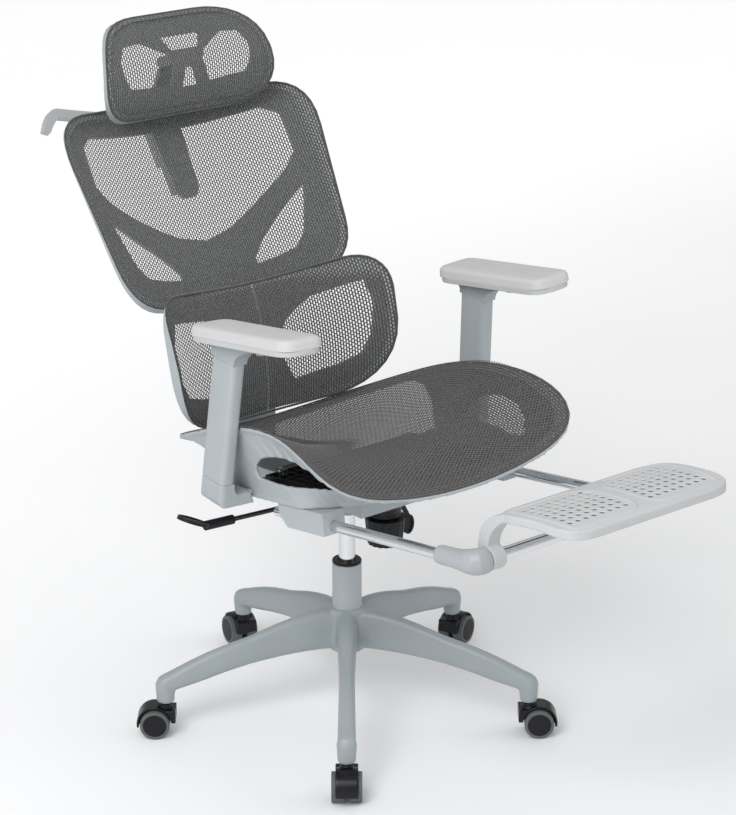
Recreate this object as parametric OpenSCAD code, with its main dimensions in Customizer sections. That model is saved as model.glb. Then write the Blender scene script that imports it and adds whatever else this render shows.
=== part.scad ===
// Reclining office chair with a slide-out footrest, built as an assembly.
// Z is up, the floor is z = 0, the origin is on the floor under the gas column.
// The chair faces -Y, so the sitter's right hand is on the -X side.

/* [Base] */
// Radius of the circle of the five caster stems
stem_circle_r = 322; // [280:1:360]
// Turn of the star base about the column, degrees
base_turn = -39; // [-72:1:72]
// Number of legs
leg_count = 5; // [5:1:5]
// Leg sockets' lower faces above the floor
socket_z = 60; // [56:0.5:70]
// Radial size of a leg's end socket
socket_len = 31; // [26:0.5:40]
// Width of a leg at the hub and at the socket
leg_w = 34; // [28:0.5:44]
// Width of a leg at its waist
leg_waist_w = 29; // [22:0.5:38]
// Outer radius of the hub boss
hub_r = 30; // [28:0.5:40]
// Height of the hub's lower face
hub_z = 113; // [100:1:118]
// Height of the hub's top face
hub_top_z = 193; // [180:1:215]
// Height of a leg's underside at the hub
leg_root_z = 119; // [100:1:135]

/* [Gas lift] */
// Outer radius of the outer tube
tube_r = 25; // [22:0.5:28]
// Inner radius of the outer tube
tube_bore_r = 20; // [17:0.5:23]
// Height of the outer tube's top
tube_top_z = 273; // [250:1:300]
// Height of the outer tube's lower end inside the hub
tube_foot_z = 116; // [114:1:130]
// Thickness of the guide ring's flange
guide_flange_t = 5; // [3:0.5:8]
// Depth of the guide ring in the tube
guide_depth = 40; // [20:1:60]
// Radius of the polished piston
piston_r = 14; // [12:0.5:16]
// Length of the polished piston
piston_len = 227; // [200:1:229]
// Height of the piston's head inside the tube
piston_head_h = 14; // [8:0.5:18]
// Height of the piston's top
piston_top_z = 420; // [400:1:430]
// Running clearance of turning and sliding fits
run_gap = 0.05; // [0.01:0.01:0.1]
// Clearance of fixed fits
fit_gap = 0.02; // [0.01:0.01:0.1]
// Clearance of flat sliding fits
slide_gap = 0.1; // [0.05:0.01:0.3]
// Lower end of the piston's socket in the mechanism
socket_low_z = 364; // [355:1:372]
// Radius of the piston's socket in the mechanism
socket_r = 18; // [17:0.5:24]
// Thickness of the socket's closed top
socket_cap = 5; // [3:0.5:8]

/* [Casters] */
// Radius of a caster wheel over its tyre
wheel_r = 25; // [22:0.5:30]
// Width of one wheel
wheel_w = 20; // [10:0.5:22]
// A wheel's inner face from the caster's middle
wheel_in = 5; // [4:0.5:8]
// Radius of a wheel's disc under the tyre
disc_r = 19.5; // [16:0.5:22]
// Radius of a caster's axle
axle_r = 4; // [3:0.25:5]
// Axle behind the caster's stem
trail = 18; // [14:0.5:26]
// Radius of the hood over the wheels
hood_r = 31; // [29:0.5:36]
// Inner radius of the hood over the wheels
hood_in_r = 27.2; // [26:0.2:28]
// Width of the hood
hood_w = 37; // [30:0.5:46]
// Thickness of the web between the wheels
web_t = 9; // [6:0.5:9.5]
// Radius of the stem boss
boss_r = 11; // [9:0.5:14]
// Stem boss above the floor
boss_top_z = 59; // [50:0.5:64]
// Radius of the steel stem
stem_r = 5.5; // [4:0.25:6]
// Stem above its socket's lower face
stem_up = 32; // [20:1:38]
// Depth of the stem's lower end in the hood
stem_down = 14; // [9:0.5:16]
// Radius of the stem's lower end
stem_pin_r = 3.2; // [2.5:0.1:3.8]
// Reach of the hood's head ahead of the stem
head_front = 17; // [12:0.5:22]
// Height of the lower edge of the hood's head
head_low_z = 27; // [20:1:36]
// Angle of the hood's trailing edge below the axle, degrees
hood_dip = 12; // [0:1:25]
// Radius of the hood's hub round the axle
axle_hub_r = 9; // [7:0.5:12]
// Turn of the front caster about its stem, degrees
caster_turn_1 = 0; // [-180:1:180]
// Turn of the right front caster about its stem, degrees
caster_turn_2 = 18; // [-180:1:180]
// Turn of the right rear caster about its stem, degrees
caster_turn_3 = 6; // [-180:1:180]
// Turn of the left rear caster about its stem, degrees
caster_turn_4 = -10; // [-180:1:180]
// Turn of the left front caster about its stem, degrees
caster_turn_5 = -18; // [-180:1:180]

/* [Seat tilt] */
// Slide rods' line above the floor at the column
deck_z = 424.4; // [380:0.1:460]
// Lean of the seat, front end up, degrees
seat_tilt = 8; // [0:0.5:12]

/* [Mechanism] */
// Width of the tilt mechanism's case
case_w = 150; // [120:1:180]
// Reach of the case ahead of the column
case_front = 131; // [128:1:150]
// Reach of the case behind the column
case_rear = 88; // [70:1:100]
// Case's lower face above the floor
case_z = 384; // [376:1:390]
// Height of the case's lower face under its front end
case_nose_z = 412; // [406:1:418]
// Height of the case's top at the front
case_front_top_z = 446; // [436:1:448]
// Height of the case's top at the rear
case_rear_top_z = 438; // [430:1:440]
// Distance ahead of the column where the case steps up
case_step = 42; // [30:1:50]
// Wall of the case
case_wall = 3; // [2:0.25:4]
// Radius of the pivot pins on the case's sides
case_pin_r = 8; // [6:0.5:10]
// Reach of the pivot pins beyond the case's sides
case_pin_l = 17; // [14:1:22]
// Seat's pivot ahead of the column
tilt_y = 60; // [40:1:80]
// Seat's pivot above the floor
tilt_z = 430; // [424:1:436]
// Back's pivot behind the column
recline_y = 20; // [10:1:40]
// Back's pivot above the floor
recline_z = 424; // [420:1:430]
// Thickness of the pivot lugs
lug_t = 10; // [6:0.5:14]
// Wall of the pivot lugs around their pins
lug_wall = 7; // [4:0.5:10]
// Side clearance of the pivot lugs
lug_gap = 1; // [0.5:0.1:2]
// Outer radius of the tension spring's coils
spring_r = 27.5; // [22:0.5:29]
// Radius of the tension spring's wire
spring_wire_r = 2.7; // [2:0.1:3]
// Number of turns of the tension spring
spring_turns = 4; // [3:1:5]
// Clearance of the tension spring's ends
spring_gap = 0.3; // [0.1:0.05:0.6]
// Knob's axis ahead of the column
knob_y = 101; // [90:1:103]
// Radius of the tension knob
knob_r = 34; // [28:0.5:40]
// Radius of the tension knob's lower end
knob_end_r = 29; // [24:0.5:36]
// Length of the tension knob
knob_len = 46; // [36:1:56]
// Height of the tension knob's top
knob_top_z = 388; // [380:1:396]
// Number of grip flutes on the knob
knob_flutes = 16; // [8:1:24]
// Radius of the grip flutes
flute_r = 3.2; // [1.5:0.1:5]
// Wall of the knob's cup
knob_wall = 4; // [3:0.5:6]
// Radius of the tension screw
screw_r = 6; // [4:0.5:8]

/* [Levers] */
// Radius of the levers' rods
lever_r = 4; // [3:0.25:5]
// Lift lever's rod behind the column
lever_y = 33; // [20:1:50]
// Levers' pivots above the floor
lever_z = 398; // [394:0.5:400]
// Radius of the levers' pivot pins
lever_pin_r = 2.5; // [2:0.25:4]
// Radius of the levers' pivot eyes
lever_eye_r = 6; // [5:0.25:8]
// Width of the levers' pivot eyes
lever_eye_w = 12; // [8:0.5:16]
// Thickness of the ears that hold a lever
ear_t = 3; // [2:0.25:5]
// Side clearance of a lever's eye
ear_gap = 0.3; // [0.1:0.05:0.6]
// Height of the lift lever's rod at its crank
lever_crank_z = 390; // [384:0.5:396]
// Reach of the lift lever's rod to the side
lever_reach = 262; // [240:1:290]
// Reach of the lift lever's cranked root
lever_root = 112; // [95:1:125]
// Rise of the lift lever over its rod and sleeve
lever_rise = 8; // [0:1:16]
// Length of the lift lever's sleeve
sleeve_len = 56; // [40:1:70]
// Radius of the lift lever's sleeve
sleeve_r = 8; // [6:0.5:10]
// Half length of the lift lever's oval paddle
paddle_a = 30; // [20:1:40]
// Half width of the lift lever's oval paddle
paddle_b = 22; // [15:1:30]
// Thickness of the paddle's rim
paddle_t = 6; // [4:0.5:9]
// Width of the paddle's rim
paddle_rim = 4; // [3:0.5:7]
// Thickness of the paddle's dished middle
paddle_web = 2; // [1.5:0.25:3]
// Upward tilt of the paddle, degrees
paddle_tilt = 25; // [0:1:40]
// Reach of the tilt lock lever to the side
lock_reach = 130; // [110:1:160]
// Tilt lock lever ahead of the column
lock_y = 20; // [5:1:26]
// Tilt lock lever's lower end above the floor
lock_low_z = 300; // [290:1:330]
// Width of the tilt lock lever's paddle
lock_w = 24; // [16:1:30]
// Length of the tilt lock lever's paddle
lock_len = 36; // [30:1:44]
// Thickness of the tilt lock lever's paddle
lock_t = 6; // [4:0.5:9]

/* [Seat] */
// Half width of the seat
seat_half_w = 250.5; // [230:0.5:290]
// Half length of the seat
seat_half_l = 266; // [230:1:290]
// Seat's middle ahead of the column
seat_mid_y = 44; // [20:1:70]
// Squareness of the seat's front corners
seat_front_pow = 7; // [2:0.1:9]
// Squareness of the seat's rear corners
seat_rear_pow = 2.5; // [2:0.1:8]
// Share by which the seat widens towards the front
seat_taper_share = -0.0422; // [-0.1:0.0001:0.1]
// Share by which the seat's ends are wider than its middle
seat_waist_share = 0.1785; // [0:0.0005:0.25]
// Seat's side edge at the rear, above the rods' line
side_rear_h = 132; // [90:1:160]
// Height of the side edge a third of the way forward
side_mid_h = 140; // [90:1:180]
// Height of the side edge two thirds of the way forward
side_crest_h = 158; // [90:1:190]
// Height of the side edge's line at the front
side_front_h = 90; // [50:1:130]
// Height of the rear edge's middle
mid_rear_h = 75; // [60:1:110]
// Height of the front edge's middle
mid_front_h = 37; // [30:1:80]
// Depth of the dish in the seat's middle
seat_dish = 24; // [5:1:40]
// Thickness of the seat mesh
mesh_t = 1.6; // [1:0.1:3]
// Width of the seat frame's rim
rim_w = 15; // [8:0.5:24]
// Height of the seat frame's rim
rim_h = 6.5; // [6:0.5:16]
// Gap between a mesh and its frame
mesh_gap = 0.2; // [0.1:0.05:0.4]
// Reach of the rim beyond the mesh edge
rim_out = 2.5; // [1:0.25:5]
// Seat frame's floor above the rods' line
floor_h = 24.5; // [18:0.5:30]
// Thickness of the seat's floor
floor_t = 6.5; // [5:0.5:14]
// Half width at the seat's floor
foot_half_w = 216; // [200:1:230]
// Floor's front tip ahead of the column
floor_front = 264; // [260:1:285]
// Where the floor's sides start to curve in, ahead of the column
floor_shoulder = 150; // [120:1:170]
// Squareness of the floor's front
floor_pow = 1.6; // [1.2:0.1:3]
// Floor's rear edge ahead of the column
floor_rear = -14; // [-20:1:-12]
// Thickness of the seat's side cheeks
cheek_t = 7; // [5:0.5:12]
// Length over which a cheek rises at the rear
cheek_rear_run = 110; // [60:1:160]
// Cheek window's rear edge ahead of the column
window_rear = 67; // [50:1:80]
// Cheek window's front tip ahead of the column
window_front = 232; // [200:1:240]
// Height of the cheek window's sill
window_sill = 61; // [50:1:70]
// Height of the cheek window's arch
window_top = 111; // [95:1:125]

/* [Seat pan] */
// Half width of the lattice pan
pan_half_w = 158; // [130:1:165]
// Pan's front edge ahead of the column
pan_front = 200; // [160:1:205]
// Pan's rear edge behind the column
pan_rear = 12; // [4:1:13]
// Thickness of the pan
pan_t = 11; // [6:0.5:16]
// Width of the pan's ribs
pan_rib = 5; // [3:0.5:8]
// Number of lattice cells across
pan_cells_x = 5; // [3:1:8]
// Number of lattice cells along
pan_cells_y = 9; // [5:1:12]
// Half width of the pan's plain middle
pan_core_w = 70; // [50:1:90]
// Radius of a bolt's shank
bolt_r = 4; // [3:0.25:5]
// Radius of a bolt's head
bolt_head_r = 8; // [6:0.5:10]
// Height of a bolt's head
bolt_head_h = 6; // [4:0.5:9]
// Clearance of a bolt in its hole
bolt_gap = 0.4; // [0.3:0.05:1]
// Half spacing of the pan's bolts across
bolt_x = 132; // [120:1:145]
// Front bolts ahead of the column
bolt_front = 184; // [150:1:195]
// Rear bolts ahead of the column
bolt_rear = 4; // [2:1:30]
// Distance of an arm bracket's bolt from the tongue's inner end
tongue_bolt_in = 14; // [10:0.5:22]

/* [Footrest] */
// Half spacing of the footrest's slide rods
rod_x = 190; // [175:1:205]
// Radius of the slide rods
rod_r = 9; // [7:0.25:11]
// Cross tube's axis ahead of the column
cross_y = 543; // [480:1:600]
// Radius of the cross tube
cross_r = 10; // [8:0.25:12]
// Wall of the cross tube
cross_wall = 1.5; // [1:0.25:3]
// Slide rods' rear ends ahead of the column
rod_rear = 60; // [0:1:90]
// Slide housings' rear ends ahead of the column
housing_rear = 92; // [80:1:110]
// Slide housings' front ends ahead of the column
housing_front = 207; // [190:1:208]
// Width of a slide housing
housing_w = 44; // [32:1:52]
// Depth of a slide housing below the rods' line
housing_drop = 13; // [13:0.5:24]
// Chamfer of a slide housing's lower rear corner
housing_cut = 20; // [5:1:26]
// Radius of an elbow around its rod
elbow_r = 14; // [12:0.5:18]
// Radius of an elbow around the cross tube
elbow_big_r = 20; // [17:0.5:24]
// Radius of an elbow's rounded corner
elbow_ball_r = 22; // [20.5:0.5:26]
// Depth of a rod and of the tube in an elbow
elbow_in = 60; // [40:1:66]
// Length of an elbow behind the cross tube's axis
elbow_back = 80; // [50:1:100]
// Distance of an elbow's inner face from the middle
elbow_face_x = 168; // [150:1:175]
// Width of a pad hub on the cross tube
pad_hub_w = 26; // [18:1:36]
// Radius of a pad hub on the cross tube
pad_hub_r = 19; // [15:0.5:23]
// Half width of the foot pad
pad_half_w = 171; // [150:1:190]
// Length of the foot pad
pad_len = 176; // [140:1:220]
// Pad's rear edge above the cross tube's axis
pad_rise = 82; // [60:1:100]
// Pad's rear edge ahead of the cross tube
pad_ahead = 22; // [0:1:40]
// Thickness of the pad's plate
pad_t = 5; // [3:0.5:8]
// Depth of the pad's skirt
pad_skirt = 14; // [8:0.5:20]
// Thickness of the pad's skirt
pad_skirt_t = 5; // [3:0.5:8]
// Fall of the pad along its length
pad_fall = 4; // [0:1:40]
// Fall of the pad's ends below its middle
pad_crown = 8; // [3:0.5:20]
// Thickness of the pad's arms
pad_arm_t = 11; // [8:0.5:16]
// Radius of a hole in the pad
pad_hole_r = 4; // [2.5:0.25:5.5]
// Spacing of the pad's holes
pad_pitch = 16; // [12:0.5:22]
// Columns of holes in each half of the pad
pad_cols = 8; // [4:1:9]
// Rows of holes in each half of the pad
pad_rows = 7; // [4:1:9]
// Height of the ridges on the pad
ridge_h = 2; // [1:0.25:4]
// Width of the ridges on the pad
ridge_w = 7; // [4:0.5:12]

/* [Arms] */
// Distance of an arm post's foot from the middle
arm_x = 275; // [260:1:300]
// Arm post's foot ahead of the column
arm_y = 12; // [-20:1:40]
// Arm post's foot above the rods' line
arm_z = 38; // [25:1:50]
// Forward lean of the arm posts, degrees
arm_lean = 13.5; // [0:0.5:20]
// Inward lean of the arm posts, degrees
arm_cant = 3.4; // [0:0.1:8]
// Length of the arm post's section
post_l = 60; // [48:0.5:72]
// Width of the arm post's section
post_w = 27; // [20:0.5:34]
// Corner radius of the arm post's section
post_corner = 11; // [5:0.5:13]
// Wall of the arm sleeve
arm_wall = 4; // [3:0.25:6]
// Start of the sleeve along the post
sleeve_start = 31; // [20:1:45]
// Neck above the sleeve's end
neck_span = 30.4; // [24:0.2:40]
// Length of the inner post
inner_len = 120; // [80:1:160]
// Length of the bracket's spigot
spigot_len = 25; // [15:1:40]
// Height of the arm bracket's foot
foot_h = 20; // [16:1:40]
// Inward reach of the bracket's foot
foot_in = 47; // [30:1:50]
// Length of the bracket's tongue
tongue_len = 50; // [30:1:60]
// Thickness of the bracket's tongue
tongue_t = 8; // [5:0.5:10]
// Width of the bracket's tongue
tongue_w = 36; // [24:1:50]
// Reach of the neck under the pad, ahead of the post
neck_front = 92; // [60:1:120]
// Reach of the neck under the pad, behind the post
neck_rear = 50; // [35:1:80]
// Height of the neck's flare
neck_h = 24; // [12:1:34]
// Neck's top above the post's foot
arm_top_h = 261; // [255:1:275]
// Length of an arm pad
arm_pad_l = 262; // [220:1:300]
// Width of an arm pad
arm_pad_w = 82; // [64:1:100]
// Pad's middle ahead of the post
arm_pad_shift = 66; // [30:1:100]
// Thickness of the pad's base
arm_base_t = 9; // [5:0.5:14]
// Thickness of the pad's soft top
arm_top_t = 17; // [10:0.5:26]
// Crown of the arm pad's soft top
arm_crown = 6; // [2:0.5:10]
// Length of the height button
button_l = 12; // [8:0.5:18]
// Width of the height button
button_w = 15; // [10:0.5:20]
// Height of the height button
button_h = 9; // [6:0.5:14]
// Height button ahead of the post
button_ahead = 82; // [60:1:84]
// Travel of the height button
button_travel = 3; // [1:0.5:4]
// Clearance around the height button
button_gap = 0.3; // [0.1:0.05:0.6]

/* [Upper back] */
// Upper back's middle behind the column
upper_y = 394; // [360:1:430]
// Height of the upper back's middle
upper_z = 826; // [780:1:880]
// Lean of the upper back, degrees
upper_lean = 33.7; // [20:0.1:45]
// Half width of the upper back at the top
upper_top_w = 271; // [240:1:290]
// Half width of the upper back at the bottom
upper_low_w = 234; // [210:1:260]
// Half height of the upper back
upper_half_h = 179; // [150:1:200]
// Depth of the upper back's curve
upper_sag = 46; // [20:1:60]
// Frame's middle behind the mesh
upper_set = 34; // [15:1:50]
// Thickness of the frames' shells
shell_t = 7; // [5:0.5:10]
// Width of the frames' outer lips
lip_w = 9; // [5:0.5:14]

/* [Lumbar] */
// Lumbar panel's middle behind the column
lumbar_y = 221; // [190:1:250]
// Height of the lumbar panel's middle
lumbar_z = 597; // [560:1:640]
// Lean of the lumbar panel, degrees
lumbar_lean = 10.9; // [0:0.1:20]
// Half width of the lumbar panel at the top
lumbar_top_w = 240; // [210:1:260]
// Half width of the lumbar panel at the bottom
lumbar_low_w = 226; // [200:1:250]
// Lumbar panel's top corners above its middle
lumbar_up = 133; // [110:1:150]
// Top edge's middle above the panel's middle
lumbar_up_mid = 108; // [90:1:130]
// Depth of the lumbar panel's lower edge below its middle
lumbar_down = 110; // [90:1:130]
// Depth of the lumbar panel's sideways curve
lumbar_sag = 77; // [40:1:90]
// Depth of the lumbar panel's upright bulge
lumbar_bulge = 24; // [10:1:40]
// Lumbar frame's middle behind the mesh
lumbar_set = 18; // [15:1:40]

/* [Headrest] */
// Headrest's middle behind the column
head_y = 424; // [400:1:460]
// Height of the headrest's middle
head_z = 1070; // [1030:1:1110]
// Lean of the headrest, degrees
head_lean = 20.8; // [5:0.1:35]
// Half width of the headrest at the top
head_top_w = 153; // [130:1:180]
// Half width of the headrest at the bottom
head_low_w = 187; // [150:1:200]
// Half height of the headrest
head_half_h = 87; // [70:1:100]
// Depth of the headrest's bulge
head_bulge = 45; // [25:1:60]
// Depth of the headrest's rim
head_depth = 14; // [11:0.5:30]

/* [Spine] */
// Width of the spine at the bottom
spine_w = 96; // [70:1:130]
// Width of the spine at the top
spine_top_w = 66; // [50:1:100]
// Thickness of the spine
spine_t = 24; // [16:1:34]
// Width of the back bracket
bracket_w = 112; // [90:1:130]
// Thickness of the back bracket
bracket_t = 12; // [8:0.5:16]
// Bracket's upstand above the floor
bracket_top_z = 476; // [462:1:490]
// Bracket's lower edge above the floor
bracket_low_z = 394; // [388:1:398]
// Height of the bracket's plate
bracket_h = 16; // [12:0.5:20]
// Spine's foot behind the column
spine_foot_y = 268; // [250:1:300]
// Lumbar pivot behind the column
pivot_y = 283; // [278:1:288]
// Height of the lumbar pivot
pivot_z = 590; // [570:1:610]
// Radius of the lumbar pivot's pin
pivot_r = 6; // [4:0.5:7]
// Width of the boss that holds the lumbar pivot
pivot_boss_w = 32; // [24:1:44]
// Wall of the lumbar pivot's eyes
eye_wall = 5; // [3:0.5:7]
// Thickness of the lumbar frame's lugs
eye_t = 11; // [8:0.5:16]
// Distance from the lumbar pivot back to the spine
spine_back = 20; // [18:1:28]

/* [Headrest stem] */
// Width of the headrest stem
stem_w = 34; // [24:1:44]
// Thickness of the headrest stem
stem_t = 9; // [6:0.5:14]
// Radius of the stem's eye at the headrest's pivot
head_pivot_r = 9; // [7:0.5:12]
// Radius of the headrest's pivot pin
head_pin_r = 4; // [3:0.25:5]
// Width of the stem's eye
head_eye_w = 24; // [16:1:32]
// Thickness of the headrest frame's lugs
head_lug_t = 8; // [5:0.5:12]
// Headrest's pivot behind its mesh
head_pivot_back = 64; // [60:1:70]
// Headrest's pivot above the headrest's middle
head_pivot_up = 5; // [-10:1:20]
// Wall of the stem's guide
guide_wall = 4; // [3:0.5:6]
// Length of the stem's guide
guide_len = 130; // [100:1:150]

/* [Hanger] */
// Half width of the coat hanger
hanger_half_w = 238; // [200:1:280]
// Height of the hanger bar
hanger_h = 17; // [10:1:26]
// Thickness of the hanger bar
hanger_t = 14; // [8:1:20]
// How far the hanger's ends curve forward
hanger_sag = 25; // [5:1:40]
// Fall of the hanger's ends
hanger_drop = 38; // [15:1:50]
// Hanger above the upper back's middle
hanger_up = 205; // [190:1:225]
// Width of the hanger's stalk
hanger_stalk_w = 40; // [24:1:60]

/* [Hidden] */

arc_n = 8;
ring_n = 8;
turn_n = 72;
side = [1, -1];

// Leg: shares of its length, and of the height from socket to hub top
leg_top_shares = [[0.09, 0.99], [0.258, 0.94], [0.531, 0.742], [0.804, 0.562], [0.98, 0.38], [1.034, 0.335]];
leg_low_shares = [[0.807, 0.52], [0.534, 0.85], [0.258, 1], [0.02, 1]];
// Openings of the upper frame: shares of its mean half width and half height
shield_shares = [[0, 0.8], [0.72, 0.8], [0.83, 0.68], [0.84, 0.28], [0.764, 0.15], [0.673, 0.056],
    [0.554, -0.045], [0.396, -0.173], [0.218, -0.296], [0, -0.369]];
tongue_shares = [[0, 0.85], [0.123, 0.85], [0.105, 0.4], [0.092, 0.16], [0.05, 0.095], [0, 0.095]];
wing_shares = [[0.816, -0.067], [0.586, -0.296], [0.416, -0.492], [0.317, -0.648], [0.317, -0.715],
    [0.475, -0.698], [0.634, -0.659], [0.713, -0.531], [0.784, -0.235]];
// Lumbar frame's side openings: shares of its top half width and upper height
loin_shares = [[0.21, 0.15], [0.25, 0.29], [0.446, 0.52], [0.75, 0.61], [0.846, 0.63], [0.89, 0.36],
    [0.88, 0.135], [0.854, -0.105], [0.78, -0.34], [0.604, -0.436], [0.267, -0.52], [0.204, -0.25]];
// Openings of the headrest: shares as for the upper frame
brow_shares = [[0, 0.49], [0.247, 0.49], [0.176, 0.195], [0, 0.195]];
chin_shares = [[0, -0.17], [0.047, -0.17], [0.1, -0.53], [0, -0.53]];
cheek_shares = [[0.218, 0.138], [0.488, 0.437], [0.712, 0.4], [0.8, 0.115], [0.78, -0.207], [0.72, -0.425],
    [0.23, -0.494], [0.176, -0.057]];
// Window in the seat frame's cheeks: shares of its length and height
window_shares = [[0, 0.1], [0, 0.4], [0.042, 0.62], [0.15, 0.84], [0.25, 0.92], [0.41, 1], [0.57, 0.97], [0.69, 0.87],
    [0.79, 0.74], [0.89, 0.46], [1, 0.04], [0.76, 0], [0.52, 0], [0.21, 0.03]];
// Scoop of the cheeks: shares of the rear run and of the rear height
scoop_shares = [[0.01, -0.3], [0.01, 0.1], [0.22, 0.5], [0.44, 0.7], [0.78, 0.79], [1, 0.86], [1.4, 0.86], [1.4, -0.3]];
// Foot pad's border: shares of its half width and length
border_shares = [[0.06, 0.3], [0.2, 0.09], [0.9, 0.09], [0.93, 0.5], [0.88, 0.91], [0.16, 0.91], [0.06, 0.82]];
hanger_shares = [[0, -0.5], [0.5, 0], [0.81, 0.39], [0.9, 0.26], [1, -0.61]];
leg_height = hub_top_z - socket_z;
hub_cut = leg_root_z - socket_z;
case_x = case_w / 2;
sleeve_end = arm_top_h / cos(arm_lean) - neck_span;
lug_r = case_pin_r + run_gap + lug_wall;
upper_w = (upper_top_w + upper_low_w) / 2;
upper_r = (upper_w * upper_w + upper_sag * upper_sag) / (2 * upper_sag);
upper_deep = upper_sag + upper_set;
upper_back_r = (upper_w * upper_w + upper_deep * upper_deep) / (2 * upper_deep);
lumbar_w = (lumbar_top_w + lumbar_low_w) / 2;
lumbar_r = (lumbar_w * lumbar_w + lumbar_sag * lumbar_sag) / (2 * lumbar_sag);
lumbar_profile_r = (lumbar_up * lumbar_up + lumbar_bulge * lumbar_bulge) / (2 * lumbar_bulge);
head_w = (head_top_w + head_low_w) / 2;
head_r = (head_half_h * head_half_h + head_bulge * head_bulge) / (2 * head_bulge);
pad_r = (pad_len * pad_len / 4 + pad_crown * pad_crown) / (2 * pad_crown);
arm_pad_r = (arm_pad_w * arm_pad_w / 4 + arm_crown * arm_crown) / (2 * arm_crown);
grey = [0.73, 0.74, 0.75];
dark = [0.09, 0.09, 0.1];
steel = [0.8, 0.81, 0.83];
cloth = [0.25, 0.24, 0.23];

function bend(s, b, e) = [for (i = [0 : arc_n]) let (t = i / arc_n)
    s * (1 - t) * (1 - t) + b * 2 * t * (1 - t) + e * t * t];
function toward(a, b, d) = a + (b - a) * d / norm(b - a);
// Closed outline with each corner rounded over a set distance
function soften(p, cuts) = [for (i = [0 : len(p) - 1]) each
    let (a = p[(i + len(p) - 1) % len(p)], b = p[i], c = p[(i + 1) % len(p)])
    cuts[i] > 0 ? bend(toward(b, a, cuts[i]), b, toward(b, c, cuts[i])) : [b]];
function flip(p) = [for (i = [len(p) - 1 : -1 : 0]) [-p[i][0], p[i][1]]];
function sized(p, a, b) = [for (q = p) [q[0] * a, q[1] * b]];
function both(p) = concat(p, flip(p));
function slab_outline(l, w, r) = soften([[-l / 2, -w / 2], [l / 2, -w / 2], [l / 2, w / 2], [-l / 2, w / 2]],
    [r, r, r, r]);
function quad_outline(tw, lw, h, ct, cl) = soften([[-tw, h], [tw, h], [lw, -h], [-lw, -h]], [ct, ct, cl, cl]);
function lumbar_outline(tw, lw, up, mid, down, c) = soften(
    [[-tw, up], [0, mid], [tw, up], [lw, -down], [-lw, -down]], [c * 0.6, c, c * 0.6, c * 1.1, c * 1.1]);
function upper_line(g) = quad_outline(upper_top_w - g, upper_low_w - g, upper_half_h - g,
    upper_half_h * 0.58 - g * 0.6, upper_half_h * 0.47 - g * 0.6);
function lumbar_line(g) = lumbar_outline(lumbar_top_w - g, lumbar_low_w - g, lumbar_up - g, lumbar_up_mid - g,
    lumbar_down - g, lumbar_down - g * 0.5);
function head_line(g) = quad_outline(head_top_w - g, head_low_w - g, head_half_h - g,
    head_half_h * 1.03 - g * 1.1, head_half_h * 0.92 - g * 0.9);
// A point given in the room's axes, in the seat's tilted axes
function in_deck(y, z) = [y * cos(seat_tilt) - (z - deck_z) * sin(seat_tilt),
    y * sin(seat_tilt) + (z - deck_z) * cos(seat_tilt)];
function in_arm(y, z) = [y * cos(arm_lean) + z * sin(arm_lean), z * cos(arm_lean) - y * sin(arm_lean)];
// A panel point, from its height and depth behind the mesh
function in_room(y0, z0, lean, v, n) = [y0 + v * sin(lean) + n * cos(lean), z0 + v * cos(lean) - n * sin(lean)];
function in_panel(y0, z0, lean, y, z) = [(y - y0) * cos(lean) - (z - z0) * sin(lean),
    (y - y0) * sin(lean) + (z - z0) * cos(lean)];

// Seat surface: a squared oval, its edge a cubic through four heights
function lens(a, n) = pow(pow(abs(cos(a)), n) + pow(abs(sin(a)), n), -1 / n);
function edge_pow(a) = sin(a) >= 0 ? seat_front_pow : seat_rear_pow;
function side_h(t) = side_rear_h * (t + 1 / 3) * (t - 1 / 3) * (t - 1) / (-16 / 9 )
    + side_mid_h * (t + 1) * (t - 1 / 3) * (t - 1) / (16 / 27)
    + side_crest_h * (t + 1) * (t + 1 / 3) * (t - 1) / (-16 / 27)
    + side_front_h * (t + 1) * (t + 1 / 3) * (t - 1 / 3) / (16 / 9);
function mid_h(t) = side_h(t) - (side_rear_h - mid_rear_h) * (1 - t) / 2 - (side_front_h - mid_front_h) * (1 + t) / 2;
function seat_pt(a, k, dz) = let (r = k * lens(a, edge_pow(a)), u = cos(a) * r, t = sin(a) * r)
    [seat_half_w * u * (1 + seat_taper_share * t + seat_waist_share * t * t), -seat_mid_y - seat_half_l * t,
    mid_h(t) + (side_h(t) - mid_h(t)) * u * u - seat_dish * (1 - k * k) + dz];
// Outline of the seat frame's floor
cheek_turn = 36;
function foot_pt(a, k) = sin(a) >= 0 ? [foot_half_w * cos(a) * lens(a, floor_pow) * k,
    -floor_shoulder - (floor_front - floor_shoulder) * sin(a) * lens(a, floor_pow) * k]
    : [foot_half_w * sign(cos(a)) * k,
    -floor_shoulder + (floor_shoulder - floor_rear) * min(1, abs(asin(sin(a))) / cheek_turn)];

module on_side(s) mirror([s > 0 ? 0 : 1, 0, 0]) children();
module twice() for (m = [0, 1]) mirror([m, 0, 0]) children();
module deck() translate([0, 0, deck_z]) rotate([-seat_tilt, 0, 0]) children();
module upright(n0, n1) translate([0, n1, 0]) rotate([90, 0, 0]) linear_extrude(n1 - n0) children();
module across(x0, x1) translate([x0, 0, 0]) rotate([90, 0, 90]) linear_extrude(x1 - x0) children();
module bar_x(r, x0, x1, n = 64) translate([x0, 0, 0]) rotate([0, 90, 0]) cylinder(r = r, h = x1 - x0, $fn = n);
module bar_y(r, y0, y1, n = 64) translate([0, y1, 0]) rotate([90, 0, 0]) cylinder(r = r, h = y1 - y0, $fn = n);
module panel(y0, z0, lean) translate([0, y0, z0]) rotate([-lean, 0, 0]) children();
module drum(r, h) cylinder(r = r, h = h, center = true, $fn = 256);

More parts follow.
